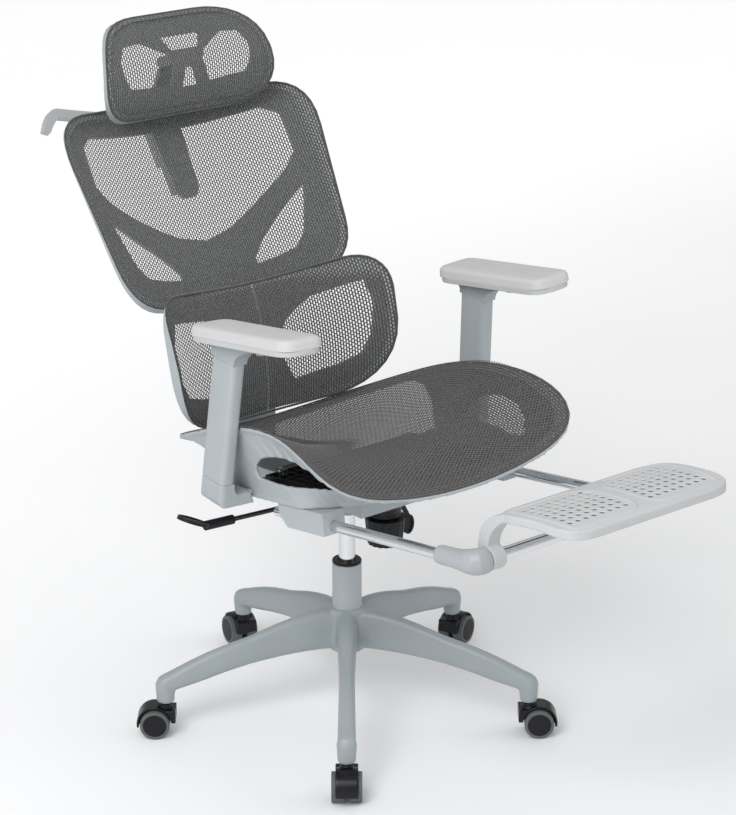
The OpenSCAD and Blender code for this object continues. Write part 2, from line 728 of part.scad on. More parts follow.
// Base and column
module leg() intersection() {
    across(-leg_w / 2, leg_w / 2) polygon(concat(
        sized(leg_top_shares, stem_circle_r, leg_height) + [for (p = leg_top_shares) [0, socket_z]],
        [[stem_circle_r + socket_len / 2, socket_z], [stem_circle_r - socket_len / 2, socket_z]],
        sized(leg_low_shares, stem_circle_r, hub_cut) + [for (p = leg_low_shares) [0, socket_z]]));
    linear_extrude(hub_top_z) polygon([[leg_w / 2, 0], [leg_w / 2, hub_r], [leg_waist_w / 2, stem_circle_r / 2],
        [leg_w / 2, stem_circle_r - socket_len / 2], [leg_w / 2, stem_circle_r + socket_len],
        [-leg_w / 2, stem_circle_r + socket_len], [-leg_w / 2, stem_circle_r - socket_len / 2],
        [-leg_waist_w / 2, stem_circle_r / 2], [-leg_w / 2, hub_r], [-leg_w / 2, 0]]);
}
module on_legs() for (i = [0 : leg_count - 1]) rotate([0, 0, base_turn + 180 + 360 / leg_count * i]) children();
module star_base() color(grey) difference() {
    union() {
        on_legs() leg();
        translate([0, 0, hub_z]) cylinder(r = hub_r, h = hub_top_z - hub_z, $fn = 96);
    }
    translate([0, 0, tube_foot_z]) cylinder(r = tube_r + fit_gap, h = hub_top_z, $fn = 96);
    on_legs() translate([0, stem_circle_r, 0]) cylinder(r = stem_r + fit_gap, h = socket_z + stem_up, $fn = 48);
}
module column_tube() color(grey) difference() {
    translate([0, 0, tube_foot_z]) cylinder(r = tube_r, h = tube_top_z - tube_foot_z, $fn = 96);
    cylinder(r = tube_bore_r, h = hub_top_z + tube_top_z, $fn = 96);
}
module column_guide() color(dark) rotate_extrude($fn = 96) polygon([
    [piston_r + run_gap, tube_top_z - guide_depth], [tube_bore_r - fit_gap, tube_top_z - guide_depth],
    [tube_bore_r - fit_gap, tube_top_z], [tube_r, tube_top_z], [tube_r, tube_top_z + guide_flange_t],
    [piston_r + run_gap, tube_top_z + guide_flange_t]]);
module gas_piston() color(steel) translate([0, 0, piston_top_z - piston_len]) {
    cylinder(r = piston_r, h = piston_len, $fn = 96);
    cylinder(r = tube_bore_r - run_gap, h = piston_head_h, $fn = 96);
}

// Casters, each about its own stem, trailing towards +X
module at_caster(i) rotate([0, 0, base_turn - 90 + 360 / leg_count * (i - 1)]) translate([stem_circle_r, 0, 0])
    rotate([0, 0, [caster_turn_1, caster_turn_2, caster_turn_3, caster_turn_4, caster_turn_5][i - 1]]) children();
module caster_stems() color(steel) for (i = [1 : leg_count]) at_caster(i) {
    translate([0, 0, boss_top_z]) cylinder(r = stem_r, h = socket_z + stem_up - boss_top_z, $fn = 48);
    translate([0, 0, boss_top_z - stem_down]) cylinder(r = stem_pin_r, h = stem_down + fit_gap, $fn = 48);
}
module hood_outline() difference() {
    union() {
        translate([trail, wheel_r]) circle(r = hood_r, $fn = 96);
        translate([-head_front, head_low_z]) square([head_front + trail, wheel_r + hood_r * 0.8 - head_low_z]);
    }
    translate([-hood_r * 2, -hood_r]) square([hood_r * 2 + trail, hood_r + head_low_z]);
    translate([trail, wheel_r]) polygon([[0, 0], [hood_r * 2, -hood_r * 2 * tan(hood_dip)],
        [hood_r * 2, -hood_r * 2], [0, -hood_r * 2]]);
}
module caster_hood(i) color(dark) at_caster(i) difference() {
    union() {
        difference() {
            union() {
                upright(-hood_w / 2, hood_w / 2) hood_outline();
                translate([0, 0, wheel_r]) cylinder(r = boss_r, h = boss_top_z - wheel_r, $fn = 64);
            }
            translate([trail, 0, wheel_r]) bar_y(hood_in_r, -hood_w, hood_w);
        }
        upright(-web_t / 2, web_t / 2) {
            hood_outline();
            translate([trail, wheel_r]) circle(r = axle_hub_r, $fn = 48);
        }
    }
    translate([trail, 0, wheel_r]) bar_y(axle_r + run_gap, -hood_w, hood_w);
    translate([0, 0, boss_top_z - stem_down]) cylinder(r = stem_pin_r + run_gap, h = stem_down * 2, $fn = 48);
}
module caster_wheels(i) color(dark) at_caster(i) translate([trail, 0, wheel_r]) {
    bar_y(axle_r, -wheel_in - wheel_w / 2, wheel_in + wheel_w / 2);
    bar_y(disc_r, wheel_in, wheel_in + wheel_w);
    bar_y(disc_r, -wheel_in - wheel_w, -wheel_in);
}
module caster_tyres(i) color(dark) at_caster(i) translate([trail, 0, wheel_r]) for (m = [0, 1]) mirror([0, m, 0])
    difference() {
        bar_y(wheel_r, wheel_in, wheel_in + wheel_w);
        bar_y(disc_r + fit_gap, 0, wheel_in + wheel_w * 2);
    }

// Tilt mechanism
module case_line(w) polygon([[-case_front + w, case_front_top_z], [-case_step, case_front_top_z],
    [-case_step, case_rear_top_z], [case_rear - w, case_rear_top_z], [case_rear - w, case_z + w * 4],
    [case_rear - w * 4, case_z + w], [-case_step + w, case_z + w], [-knob_y + spring_r + w, case_nose_z + w],
    [-case_front + w, case_nose_z + w]]);
module lever_ears(s, y) difference() {
    for (m = [-1, 1]) translate([0, y + m * (lever_eye_w / 2 + ear_gap + ear_t / 2), 0])
        upright(-ear_t / 2, ear_t / 2) translate([s * (case_x + lever_eye_r + ear_gap * 3), lever_z])
        union() {
            circle(r = lever_eye_r, $fn = 48);
            translate([s > 0 ? -lever_eye_r - ear_gap * 4 : 0, -lever_eye_r]) square([lever_eye_r + ear_gap * 4,
                lever_eye_r * 2]);
        }
}
module mechanism_case() color(dark) difference() {
    union() {
        difference() {
            across(-case_x, case_x) case_line(0);
            across(-case_x + case_wall, case_x - case_wall) case_line(case_wall);
        }
        translate([0, 0, socket_low_z]) cylinder(r = socket_r, h = piston_top_z + socket_cap - socket_low_z, $fn = 96);
        twice() {
            translate([0, -tilt_y, tilt_z]) bar_x(case_pin_r, case_x - case_wall, case_x + case_pin_l);
            translate([0, recline_y, recline_z]) bar_x(case_pin_r, case_x - case_wall, case_x + case_pin_l);
        }
        lever_ears(-1, lever_y);
        lever_ears(1, -lock_y);
        translate([-case_x - lever_eye_r - ear_gap * 3, lever_y, lever_z]) bar_y(lever_pin_r, -lever_eye_w / 2 - ear_t,
            lever_eye_w / 2 + ear_t);
        translate([case_x + lever_eye_r + ear_gap * 3, -lock_y, lever_z]) bar_y(lever_pin_r, -lever_eye_w / 2 - ear_t,
            lever_eye_w / 2 + ear_t);
    }
    cylinder(r = piston_r + run_gap, h = piston_top_z, $fn = 96);
    translate([0, -knob_y, 0]) cylinder(r = screw_r + run_gap, h = case_nose_z + case_wall * 2, $fn = 48);
}
coil_n = 20;
wire_n = 8;
coil_low = knob_top_z + spring_gap + spring_wire_r;
coil_rise = case_nose_z - knob_top_z - (spring_gap + spring_wire_r) * 2;
module tension_spring() color(dark) translate([0, -knob_y, 0]) polyhedron(
    points = [for (i = [0 : coil_n * spring_turns]) let (a = i * 360 / coil_n) for (j = [0 : wire_n - 1])
        let (b = j * 360 / wire_n, r = spring_r - spring_wire_r + spring_wire_r * cos(b))
        [r * cos(a), r * sin(a), coil_low + coil_rise * i / (coil_n * spring_turns) + spring_wire_r * sin(b)]],
    faces = concat(
        [for (i = [0 : coil_n * spring_turns - 1]) for (j = [0 : wire_n - 1]) each
            let (k = (j + 1) % wire_n, p = i * wire_n, q = p + wire_n) [[p + j, q + k, q + j], [p + j, p + k, q + k]]],
        [[for (j = [wire_n - 1 : -1 : 0]) j], [for (j = [0 : wire_n - 1]) coil_n * spring_turns * wire_n + j]]));
knob_slope = atan((knob_r - knob_end_r) / knob_len);
module tension_knob() color(dark) translate([0, -knob_y, knob_top_z - knob_len]) {
    difference() {
        cylinder(r1 = knob_end_r, r2 = knob_r, h = knob_len, $fn = 96);
        for (i = [0 : knob_flutes - 1]) rotate(i * 360 / knob_flutes) translate([knob_end_r + flute_r / 2, 0, 0])
            rotate([0, knob_slope, 0]) cylinder(r = flute_r, h = knob_len * 3, center = true, $fn = 24);
        translate([0, 0, -knob_wall]) cylinder(r = knob_end_r - knob_wall * 1.4, h = knob_len, $fn = 96);
    }
    cylinder(r = screw_r, h = case_nose_z + case_wall * 6 - knob_top_z + knob_len, $fn = 48);
}
lift_x = -case_x - lever_eye_r - ear_gap * 3;
module rod_to(x0, z0, x1, z1, r) translate([x0, 0, z0]) rotate([0, atan2(x1 - x0, z1 - z0), 0])
    cylinder(r = r, h = norm([x1 - x0, z1 - z0]), $fn = 48);
grip_z = lever_crank_z + lever_rise;
grip_slope = lever_rise / (lever_reach - lever_root);
module lift_lever() color(dark) translate([0, lever_y, 0]) difference() {
    union() {
        translate([lift_x, 0, lever_z]) bar_y(lever_eye_r, -lever_eye_w / 2, lever_eye_w / 2);
        rod_to(lift_x - lever_eye_r / 2, lever_z, -lever_root, lever_crank_z, lever_r);
        translate([-lever_root, 0, lever_crank_z]) bar_y(lever_r * 1.25, -lever_r * 1.25, lever_r * 1.25);
        rod_to(-lever_root, lever_crank_z, -lever_reach, grip_z, lever_r);
    }
    translate([lift_x, 0, lever_z]) bar_y(lever_pin_r + run_gap, -lever_eye_w, lever_eye_w);
}
function oval(a, b) = [for (i = [0 : 47]) [a * cos(i * 7.5), b * sin(i * 7.5)]];
module paddle(a, b) {
    linear_extrude(paddle_t, center = true) difference() {
        polygon(oval(a, b));
        polygon(oval(a - paddle_rim, b - paddle_rim));
    }
    linear_extrude(paddle_web, center = true) polygon(oval(a - paddle_rim / 2, b - paddle_rim / 2));
}
module lift_lever_grip() color(dark) translate([0, lever_y, 0]) {
    difference() {
        rod_to(-lever_reach + sleeve_len - sleeve_r, grip_z - grip_slope * (sleeve_len - sleeve_r),
            -lever_reach - sleeve_r, grip_z + grip_slope * sleeve_r, sleeve_r);
        rod_to(-lever_root, lever_crank_z, -lever_reach, grip_z, lever_r + fit_gap);
    }
    translate([-lever_reach - sleeve_r / 2, 0, grip_z + sleeve_r / 4]) rotate([0, paddle_tilt, 0])
        translate([-paddle_a, 0, 0]) paddle(paddle_a, paddle_b);
}
lock_x = case_x + lever_eye_r + ear_gap * 3;
module lock_lever() color(dark) translate([0, -lock_y, 0]) difference() {
    union() {
        translate([lock_x, 0, lever_z]) bar_y(lever_eye_r, -lever_eye_w / 2, lever_eye_w / 2);
        upright(-lock_t / 2, lock_t / 2) polygon([[lock_x - lever_r, lever_z], [lock_x + lever_r, lever_z],
            [lock_reach - lock_w / 2 + lever_r, lock_low_z + lock_len - paddle_rim],
            [lock_reach - lock_w / 2 - lever_r, lock_low_z + lock_len - paddle_rim]]);
        translate([lock_reach - lock_w / 2, 0, lock_low_z + lock_len / 2]) rotate([90, 0, 0])
            paddle(lock_w / 2, lock_len / 2);
    }
    translate([lock_x, 0, lever_z]) bar_y(lever_pin_r + run_gap, -lever_eye_w, lever_eye_w);
}

// Seat
function ring_k(k) = k < ring_n ? k / (ring_n - 1) * (1 - rim_w / seat_half_w) : 1;
module seat_mesh() color(cloth) deck() polyhedron(
    points = concat(
        [[0, -seat_mid_y, mid_h(0) - seat_dish]],
        [for (k = [1 : ring_n]) for (i = [0 : turn_n - 1]) seat_pt(i * 360 / turn_n, ring_k(k), 0)],
        [[0, -seat_mid_y, mid_h(0) - seat_dish - mesh_t]],
        [for (k = [1 : ring_n]) for (i = [0 : turn_n - 1]) seat_pt(i * 360 / turn_n, ring_k(k), -mesh_t)]),
    faces = let (m = ring_n * turn_n + 1) concat(
        [for (i = [0 : turn_n - 1]) [0, 1 + i, 1 + (i + 1) % turn_n]],
        [for (i = [0 : turn_n - 1]) [m, m + 1 + (i + 1) % turn_n, m + 1 + i]],
        [for (k = [0 : ring_n - 2]) for (i = [0 : turn_n - 1]) each
            let (j = (i + 1) % turn_n, p = 1 + k * turn_n, q = p + turn_n)
            [[p + i, q + i, p + j], [q + i, q + j, p + j],
            [m + p + i, m + p + j, m + q + i], [m + q + i, m + p + j, m + q + j]]],
        [for (i = [0 : turn_n - 1]) each let (j = (i + 1) % turn_n, p = 1 + (ring_n - 1) * turn_n)
            [[p + i, m + p + i, m + p + j], [p + i, m + p + j, p + j]]]));
// Faces of a strip of four-point sections
function strip(n, closed) = concat([for (i = [0 : closed ? n - 1 : n - 2]) for (j = [0 : 3]) each
    let (p = i * 4, q = ((i + 1) % n) * 4, k = (j + 1) % 4) j == 1 ? [[p + j, q + j, p + k], [q + j, q + k, p + k]]
    : [[p + j, q + j, q + k], [p + j, q + k, p + k]]],
    closed ? [] : let (e = (n - 1) * 4) [[0, 1, 2], [0, 2, 3], [e, e + 2, e + 1], [e, e + 3, e + 2]]);
rim_drop = mesh_t + mesh_gap * 1.5;
module seat_rim() polyhedron(
    points = [for (i = [0 : turn_n - 1]) let (a = i * 360 / turn_n, o = 1 + rim_out / seat_half_w,
        n = 1 - rim_w / seat_half_w) each [seat_pt(a, o, -rim_drop), seat_pt(a, n, -rim_drop),
        seat_pt(a, n, -rim_drop - rim_h), seat_pt(a, o, -rim_drop - rim_h)]],
    faces = strip(turn_n, true));
// Half of the tub under the rim, from one rear end to the nose
tub_n = (90 + cheek_turn) / 6 + 1;
module half_tub() polyhedron(
    points = [for (i = [0 : tub_n - 1]) let (a = i * 6 - cheek_turn, n = 1 - cheek_t / seat_half_w,
        h = -rim_drop - rim_h / 2, z = floor_h + floor_t / 2) each [seat_pt(a, 1, h), seat_pt(a, n, h),
        concat(foot_pt(a, n - 0.01), [z]), concat(foot_pt(a, 0.99), [z])]],
    faces = strip(tub_n, false));
tilt_at = in_deck(-tilt_y, tilt_z);
arm_foot_y = -arm_y;
module tongue_space(g) translate([foot_half_w - tongue_len - g, arm_foot_y - tongue_w / 2 - g, floor_h + floor_t])
    cube([tongue_len * 2, tongue_w + g * 2, tongue_t + g]);
module pan_bolts_at() for (x = side, y = [bolt_front, bolt_rear]) translate([x * bolt_x, -y, 0]) children();
module arm_bolts_at() for (x = side) translate([x * (foot_half_w - tongue_len + tongue_bolt_in), arm_foot_y, 0])
    children();
module seat_frame() color(grey) deck() difference() {
    union() {
        seat_rim();
        twice() difference() {
            half_tub();
            across(pan_half_w, foot_half_w * 2) {
                polygon([for (q = window_shares) [-window_rear - (window_front - window_rear) * q[0],
                    window_sill + (window_top - window_sill) * q[1]]]);
                polygon([for (q = scoop_shares) [-floor_rear + cheek_rear_run * q[0],
                    side_rear_h * q[1] + floor_h * (1 - q[1])]]);
            }
            tongue_space(bolt_gap);
        }
        translate([0, 0, floor_h]) linear_extrude(floor_t) polygon([for (i = [0 : tub_n * 2 - 2])
            foot_pt(i * 6 - cheek_turn, 1)]);
        for (x = side) across(x > 0 ? case_x + lug_gap : -case_x - lug_gap - lug_t,
            x > 0 ? case_x + lug_gap + lug_t : -case_x - lug_gap) translate(tilt_at) {
            circle(r = lug_r, $fn = 64);
            translate([-lug_r, 0]) square([lug_r * 2, floor_h + floor_t / 2 - tilt_at[1]]);
        }
    }
    translate([0, tilt_at[0], tilt_at[1]]) bar_x(case_pin_r + run_gap, -case_w, case_w);
    pan_bolts_at() cylinder(r = bolt_r + bolt_gap, h = deck_z, center = true, $fn = 48);
    arm_bolts_at() cylinder(r = bolt_r + bolt_gap, h = deck_z, center = true, $fn = 48);
}
pan_z = floor_h + floor_t;
cell_x = (pan_half_w - pan_core_w - pan_rib) / pan_cells_x;
cell_y = (pan_front + pan_rear - pan_rib) / pan_cells_y;
module seat_pan() color(dark) deck() translate([0, 0, pan_z]) difference() {
    linear_extrude(pan_t) difference() {
        translate([-pan_half_w, -pan_front]) square([pan_half_w * 2, pan_front + pan_rear]);
        twice() for (i = [0 : pan_cells_x - 1]) for (j = [0 : pan_cells_y - 1])
            if (!((j == 0 || j == pan_cells_y - 1) && abs(pan_core_w + cell_x * (i + 0.5) + pan_rib / 2 - bolt_x) < cell_x * 0.9))
            translate([pan_core_w + cell_x * i + pan_rib, -pan_front + cell_y * j + pan_rib])
                square([cell_x - pan_rib, cell_y - pan_rib]);
    }
    pan_bolts_at() cylinder(r = bolt_r + bolt_gap, h = pan_t * 3, center = true, $fn = 48);
}
module bolt(top) {
    translate([0, 0, floor_h]) cylinder(r = bolt_r, h = top - floor_h + bolt_head_h, $fn = 48);
    translate([0, 0, top]) cylinder(r = bolt_head_r, h = bolt_head_h, $fn = 48);
}
module seat_bolts() color(steel) deck() {
    pan_bolts_at() bolt(pan_z + pan_t);
    arm_bolts_at() bolt(pan_z + tongue_t);
}

// Footrest
module slide_housing(s) color(dark) deck() difference() {
    across(s * rod_x - housing_w / 2, s * rod_x + housing_w / 2) polygon([[-housing_rear, floor_h],
        [-housing_front, floor_h], [-housing_front, -housing_drop], [-housing_rear - housing_cut, -housing_drop],
        [-housing_rear, -housing_drop + housing_cut]]);
    translate([s * rod_x, 0, 0]) bar_y(rod_r + run_gap, -cross_y, 0);
}
module footrest_rod(s) color(steel) deck() translate([s * rod_x, 0, 0])
    bar_y(rod_r, -cross_y + elbow_back - elbow_in, -rod_rear);
module footrest_tube() color(steel) deck() translate([0, -cross_y, 0]) difference() {
    bar_x(cross_r, -rod_x, rod_x);
    bar_x(cross_r - cross_wall, -rod_x * 2, rod_x * 2);
}
module elbow(s) color(grey) deck() translate([0, -cross_y, 0]) on_side(s) difference() {
    union() {
        translate([rod_x, 0, 0]) bar_y(elbow_r, 0, elbow_back);
        bar_x(elbow_big_r, elbow_face_x, rod_x);
        translate([rod_x, 0, 0]) sphere(r = elbow_ball_r, $fn = 64);
    }
    translate([rod_x, 0, 0]) bar_y(rod_r + fit_gap, elbow_back - elbow_in, elbow_back * 2);
    bar_x(cross_r + fit_gap, 0, rod_x);
}
pad_pitch_deg = asin(pad_fall / pad_len);
module on_pad() deck() translate([0, -cross_y - pad_ahead, pad_rise]) rotate([pad_pitch_deg, 0, 0]) children();
module pad_plan(g) translate([0, -pad_len / 2]) polygon(soften([[-pad_half_w + g, -pad_len / 2 + g],
    [pad_half_w - g, -pad_len / 2 + g], [pad_half_w - g, pad_len / 2 - g], [-pad_half_w + g, pad_len / 2 - g]],
    [for (i = [0 : 3]) pad_len * 0.3 - g * 0.6]));
module pad_curve(g) translate([0, -pad_len / 2, -pad_r]) bar_x(pad_r + g, -pad_half_w * 2, pad_half_w * 2, 360);
module pad_tall() translate([0, 0, -pad_rise]) linear_extrude(pad_rise * 2) children();
module pad_border(g) polygon(soften([for (q = border_shares) [pad_half_w * q[0] + g * (q[0] < 0.5 ? 1 : -1),
    -pad_len * q[1] + g * (q[1] > 0.5 ? 1 : -1)]], [for (q = border_shares) pad_len * 0.05]));
module foot_pad() color(grey) {
    on_pad() {
        difference() {
            intersection() {
                pad_tall() pad_plan(0);
                pad_curve(0);
            }
            intersection() {
                pad_tall() pad_plan(pad_skirt_t);
                pad_curve(-pad_t);
            }
            pad_curve(-pad_skirt);
            for (m = side) for (i = [0 : pad_cols - 1]) for (j = [0 : pad_rows - 1])
                translate([m * pad_pitch * (i + 1.6), -pad_len / 2 + pad_pitch * (j - (pad_rows - 1) / 2),
                -pad_rise / 2]) cylinder(r = pad_hole_r, h = pad_rise, $fn = 24);
        }
        difference() {
            intersection() {
                pad_tall() difference() {
                    twice() pad_border(0);
                    twice() pad_border(ridge_w / 2);
                }
                pad_curve(ridge_h);
            }
            pad_curve(-pad_t / 2);
        }
    }
    deck() translate([0, -cross_y, 0]) twice() difference() {
        translate([elbow_face_x - lug_gap - pad_hub_w, 0, 0]) union() {
            across(0, pad_hub_w) {
                circle(r = pad_hub_r, $fn = 64);
                polygon(concat(bend([pad_hub_r, 0], [pad_hub_r, pad_rise * 0.75],
                    [-pad_ahead - pad_arm_t, pad_rise - pad_crown]),
                    bend([-pad_ahead - pad_arm_t * 4, pad_rise - pad_crown * 1.15], [pad_hub_r - pad_arm_t * 1.6,
                    pad_rise * 0.62], [-pad_hub_r * 0.2, 0])));
            }
        }
        bar_x(cross_r + run_gap, 0, rod_x);
    }
}

// Arms
module arm_at(s) deck() translate([s * arm_x, arm_foot_y, arm_z]) rotate([arm_lean, -s * arm_cant, 0]) children();
module arm_top_at(s) deck() translate([s * arm_x, arm_foot_y, arm_z]) rotate([0, -s * arm_cant, 0])
    translate([0, -arm_top_h * tan(arm_lean), arm_top_h]) children();
module post_section(g) polygon(slab_outline(post_w - g * 2, post_l - g * 2, max(post_corner - g, post_corner / 4)));
module arm_bracket(s) color(grey) {
    arm_at(s) on_side(s) {
        intersection() {
            upright(-post_l / 2, post_l / 2) polygon(concat([[post_w / 2, sleeve_start]],
                bend([post_w / 2, sleeve_start * 0.3], [post_w / 2, -foot_h / 2], [0, -foot_h / 2]),
                [[-foot_in * 1.2, -foot_h / 2], [-foot_in, foot_h / 2]],
                bend([-foot_in * 0.6, foot_h / 2], [-post_w / 2, foot_h / 2], [-post_w / 2, sleeve_start])));
            translate([post_w / 2 - foot_in, 0, -foot_h * 2]) linear_extrude(foot_h * 2 + sleeve_start) polygon(
                slab_outline(foot_in * 2, post_l, post_corner));
        }
        linear_extrude(sleeve_start + spigot_len) post_section(arm_wall + slide_gap);
    }
    deck() on_side(s) difference() {
        translate([foot_half_w - tongue_len, arm_foot_y - tongue_w / 2, pan_z])
            cube([arm_x - foot_half_w + tongue_len - post_w / 4, tongue_w, tongue_t]);
        translate([foot_half_w - tongue_len + tongue_bolt_in, arm_foot_y, 0])
            cylinder(r = bolt_r + bolt_gap, h = deck_z, $fn = 48);
    }
}
module arm_sleeve(s) color(grey) arm_at(s) translate([0, 0, sleeve_start]) linear_extrude(sleeve_end - sleeve_start)
    difference() {
        post_section(0);
        post_section(arm_wall);
    }
neck_front_at = in_arm(-arm_top_h * tan(arm_lean) - neck_front, arm_top_h);
neck_rear_at = in_arm(-arm_top_h * tan(arm_lean) + neck_rear, arm_top_h);
neck_low = sleeve_end + slide_gap;
module arm_post(s) color(grey) difference() {
    arm_at(s) {
        translate([0, 0, sleeve_end - inner_len]) linear_extrude(inner_len + neck_h / 4)
            post_section(arm_wall + slide_gap);
        across(-post_w / 2, post_w / 2) polygon(concat([[post_l / 2, neck_low]],
            bend([post_l / 2, neck_low + neck_h * 0.2], [post_l / 2, neck_rear_at[1] * 0.98], neck_rear_at),
            [neck_front_at],
            bend(neck_front_at - [0, neck_h / 3], [-post_l / 2, neck_front_at[1] - neck_h], [-post_l / 2, neck_low])));
    }
    arm_top_at(s) translate([0, -button_ahead, -button_h + button_travel / 2]) cube([button_w + button_gap * 2,
        button_l + button_gap * 2, button_h + button_travel + button_gap * 2], center = true);
}
module arm_button(s) color(grey) arm_top_at(s) translate([0, -button_ahead, -button_h]) cube([button_w, button_l,
    button_h], center = true);
module pad_line(g) translate([0, -arm_pad_shift]) polygon(slab_outline(arm_pad_w - g, arm_pad_l - g,
    arm_pad_w * 0.45 - g / 2));
module arm_pad_base(s) color(grey) arm_top_at(s) linear_extrude(arm_base_t) pad_line(0);
module arm_pad(s) color(grey) arm_top_at(s) intersection() {
    translate([0, 0, arm_base_t]) linear_extrude(arm_top_t) pad_line(mesh_t);
    translate([0, 0, arm_base_t + arm_top_t - arm_pad_r]) bar_y(arm_pad_r, -arm_pad_l * 2, arm_pad_l, 192);
}

// Back
bracket_rear = spine_foot_y + bracket_t;
module back_bracket() color(dark) difference() {
    union() {
        intersection() {
            across(-case_w, case_w) polygon([[recline_y, recline_z + lug_r], [spine_foot_y, bracket_low_z + bracket_h * 1.2],
                [spine_foot_y, bracket_top_z], [bracket_rear, bracket_top_z], [bracket_rear, bracket_low_z],
                [recline_y, recline_z - lug_r]]);
            linear_extrude(bracket_top_z * 2) polygon(both([[case_x + lug_gap, recline_y - lug_r],
                [case_x + lug_gap + lug_t, recline_y - lug_r], [case_x + lug_gap + lug_t, case_rear + lug_t * 4],
                [bracket_w / 2, bracket_rear - bracket_t * 2], [bracket_w / 2, bracket_rear]]));
        }
        for (x = side) across(x > 0 ? case_x + lug_gap : -case_x - lug_gap - lug_t,
            x > 0 ? case_x + lug_gap + lug_t : -case_x - lug_gap) translate([recline_y, recline_z])
            circle(r = lug_r, $fn = 64);
    }
    translate([-case_x - lug_gap, -case_rear, 0]) cube([case_w + lug_gap * 2, case_rear * 2 + lug_t, deck_z * 2]);
    translate([0, recline_y, recline_z]) bar_x(case_pin_r + run_gap, -case_w, case_w);
}
spine_low = [bracket_rear, bracket_low_z + bracket_h];
spine_mid = [pivot_y + spine_back, pivot_z];
spine_up = in_room(upper_y, upper_z, upper_lean, -upper_half_h * 0.98, upper_set + shell_t);
spine_top = in_room(upper_y, upper_z, upper_lean, -upper_half_h * 0.55, upper_set + shell_t);
spine_side = [cos(upper_lean), -sin(upper_lean)] * spine_t;
module back_spine() color(grey) difference() {
    union() {
        intersection() {
            across(-spine_w, spine_w) polygon(concat(bend(spine_low, [bracket_rear, spine_mid[1] * 0.85], spine_mid),
                [spine_up, spine_top, spine_top + spine_side * 0.6, spine_up + spine_side],
                bend(spine_mid + [spine_t, 0], [bracket_rear + spine_t, spine_mid[1] * 0.85],
                spine_low + [spine_t, 0])));
            upright(0, spine_top[0] * 2) polygon([[-spine_w / 2, 0], [spine_w / 2, 0], [spine_w / 2, spine_low[1]],
                [spine_top_w / 2, spine_top[1]], [spine_top_w / 2, upper_z], [-spine_top_w / 2, upper_z],
                [-spine_top_w / 2, spine_top[1]], [-spine_w / 2, spine_low[1]]]);
        }
        across(-pivot_boss_w / 2, pivot_boss_w / 2) translate([pivot_y, pivot_z]) {
            circle(r = pivot_r + eye_wall, $fn = 64);
            translate([0, -pivot_r - eye_wall]) square([spine_back + spine_t / 2, (pivot_r + eye_wall) * 2]);
        }
        translate([0, pivot_y, pivot_z]) bar_x(pivot_r, -pivot_boss_w / 2 - lug_gap - eye_t,
            pivot_boss_w / 2 + lug_gap + eye_t);
    }
}
module upper_outline(g) polygon(upper_line(g));
module upper_drum(r, set) translate([0, set - r, 0]) drum(r, upper_half_h * 3);
module upper_openings() {
    difference() {
        polygon(both(sized(shield_shares, upper_w, upper_half_h)));
        polygon(both(sized(tongue_shares, upper_w, upper_half_h)));
    }
    twice() polygon(sized(wing_shares, upper_w, upper_half_h));
}
module upper_frame() color(grey) panel(upper_y, upper_z, upper_lean) difference() {
    union() {
        difference() {
            intersection() {
                upright(-upper_sag * 2, upper_deep) upper_outline(0);
                upper_drum(upper_back_r + shell_t, upper_set + shell_t);
            }
            intersection() {
                upright(-upper_sag * 3, upper_deep * 2) upper_outline(lip_w);
                upper_drum(upper_back_r, upper_set);
            }
            upright(-upper_sag * 3, upper_deep * 2) upper_openings();
            upper_drum(upper_r + mesh_t + mesh_gap, mesh_t + mesh_gap);
        }
        translate([0, 0, upper_half_h * 0.9 - guide_len]) translate([-stem_w / 2 - guide_wall, upper_set + shell_t / 2, 0])
            cube([stem_w + guide_wall * 2, stem_t + guide_wall * 2 + shell_t / 2, guide_len]);
    }
    translate([-stem_w / 2 - slide_gap, upper_set + shell_t + guide_wall - slide_gap, -upper_half_h])
        cube([stem_w + slide_gap * 2, stem_t + slide_gap * 2, upper_half_h * 3]);
}
module upper_mesh() color(cloth) panel(upper_y, upper_z, upper_lean) intersection() {
    upright(-upper_sag * 2, upper_deep) upper_outline(rim_out);
    difference() {
        upper_drum(upper_r + mesh_t, mesh_t);
        translate([0, -upper_r, 0]) drum(upper_r, upper_half_h * 4);
    }
}
module lumbar_ring(g) translate([0, -lumbar_r, 0]) rotate_extrude($fn = 256) difference() {
    translate([0, -lumbar_profile_r / 2]) square([lumbar_r + lumbar_profile_r / 2, lumbar_profile_r]);
    translate([lumbar_r + lumbar_profile_r, 0]) circle(r = lumbar_profile_r - g, $fn = 256);
}
module lumbar_lug() difference() {
    across(pivot_boss_w / 2 + lug_gap, pivot_boss_w / 2 + lug_gap + eye_t) {
        translate(lumbar_pivot) circle(r = pivot_r + eye_wall, $fn = 64);
        translate([lumbar_set + shell_t / 2, lumbar_pivot[1] - pivot_r - eye_wall])
            square([lumbar_pivot[0] - lumbar_set - shell_t / 2, (pivot_r + eye_wall) * 2]);
    }
}
lumbar_pivot = in_panel(lumbar_y, lumbar_z, lumbar_lean, pivot_y, pivot_z);
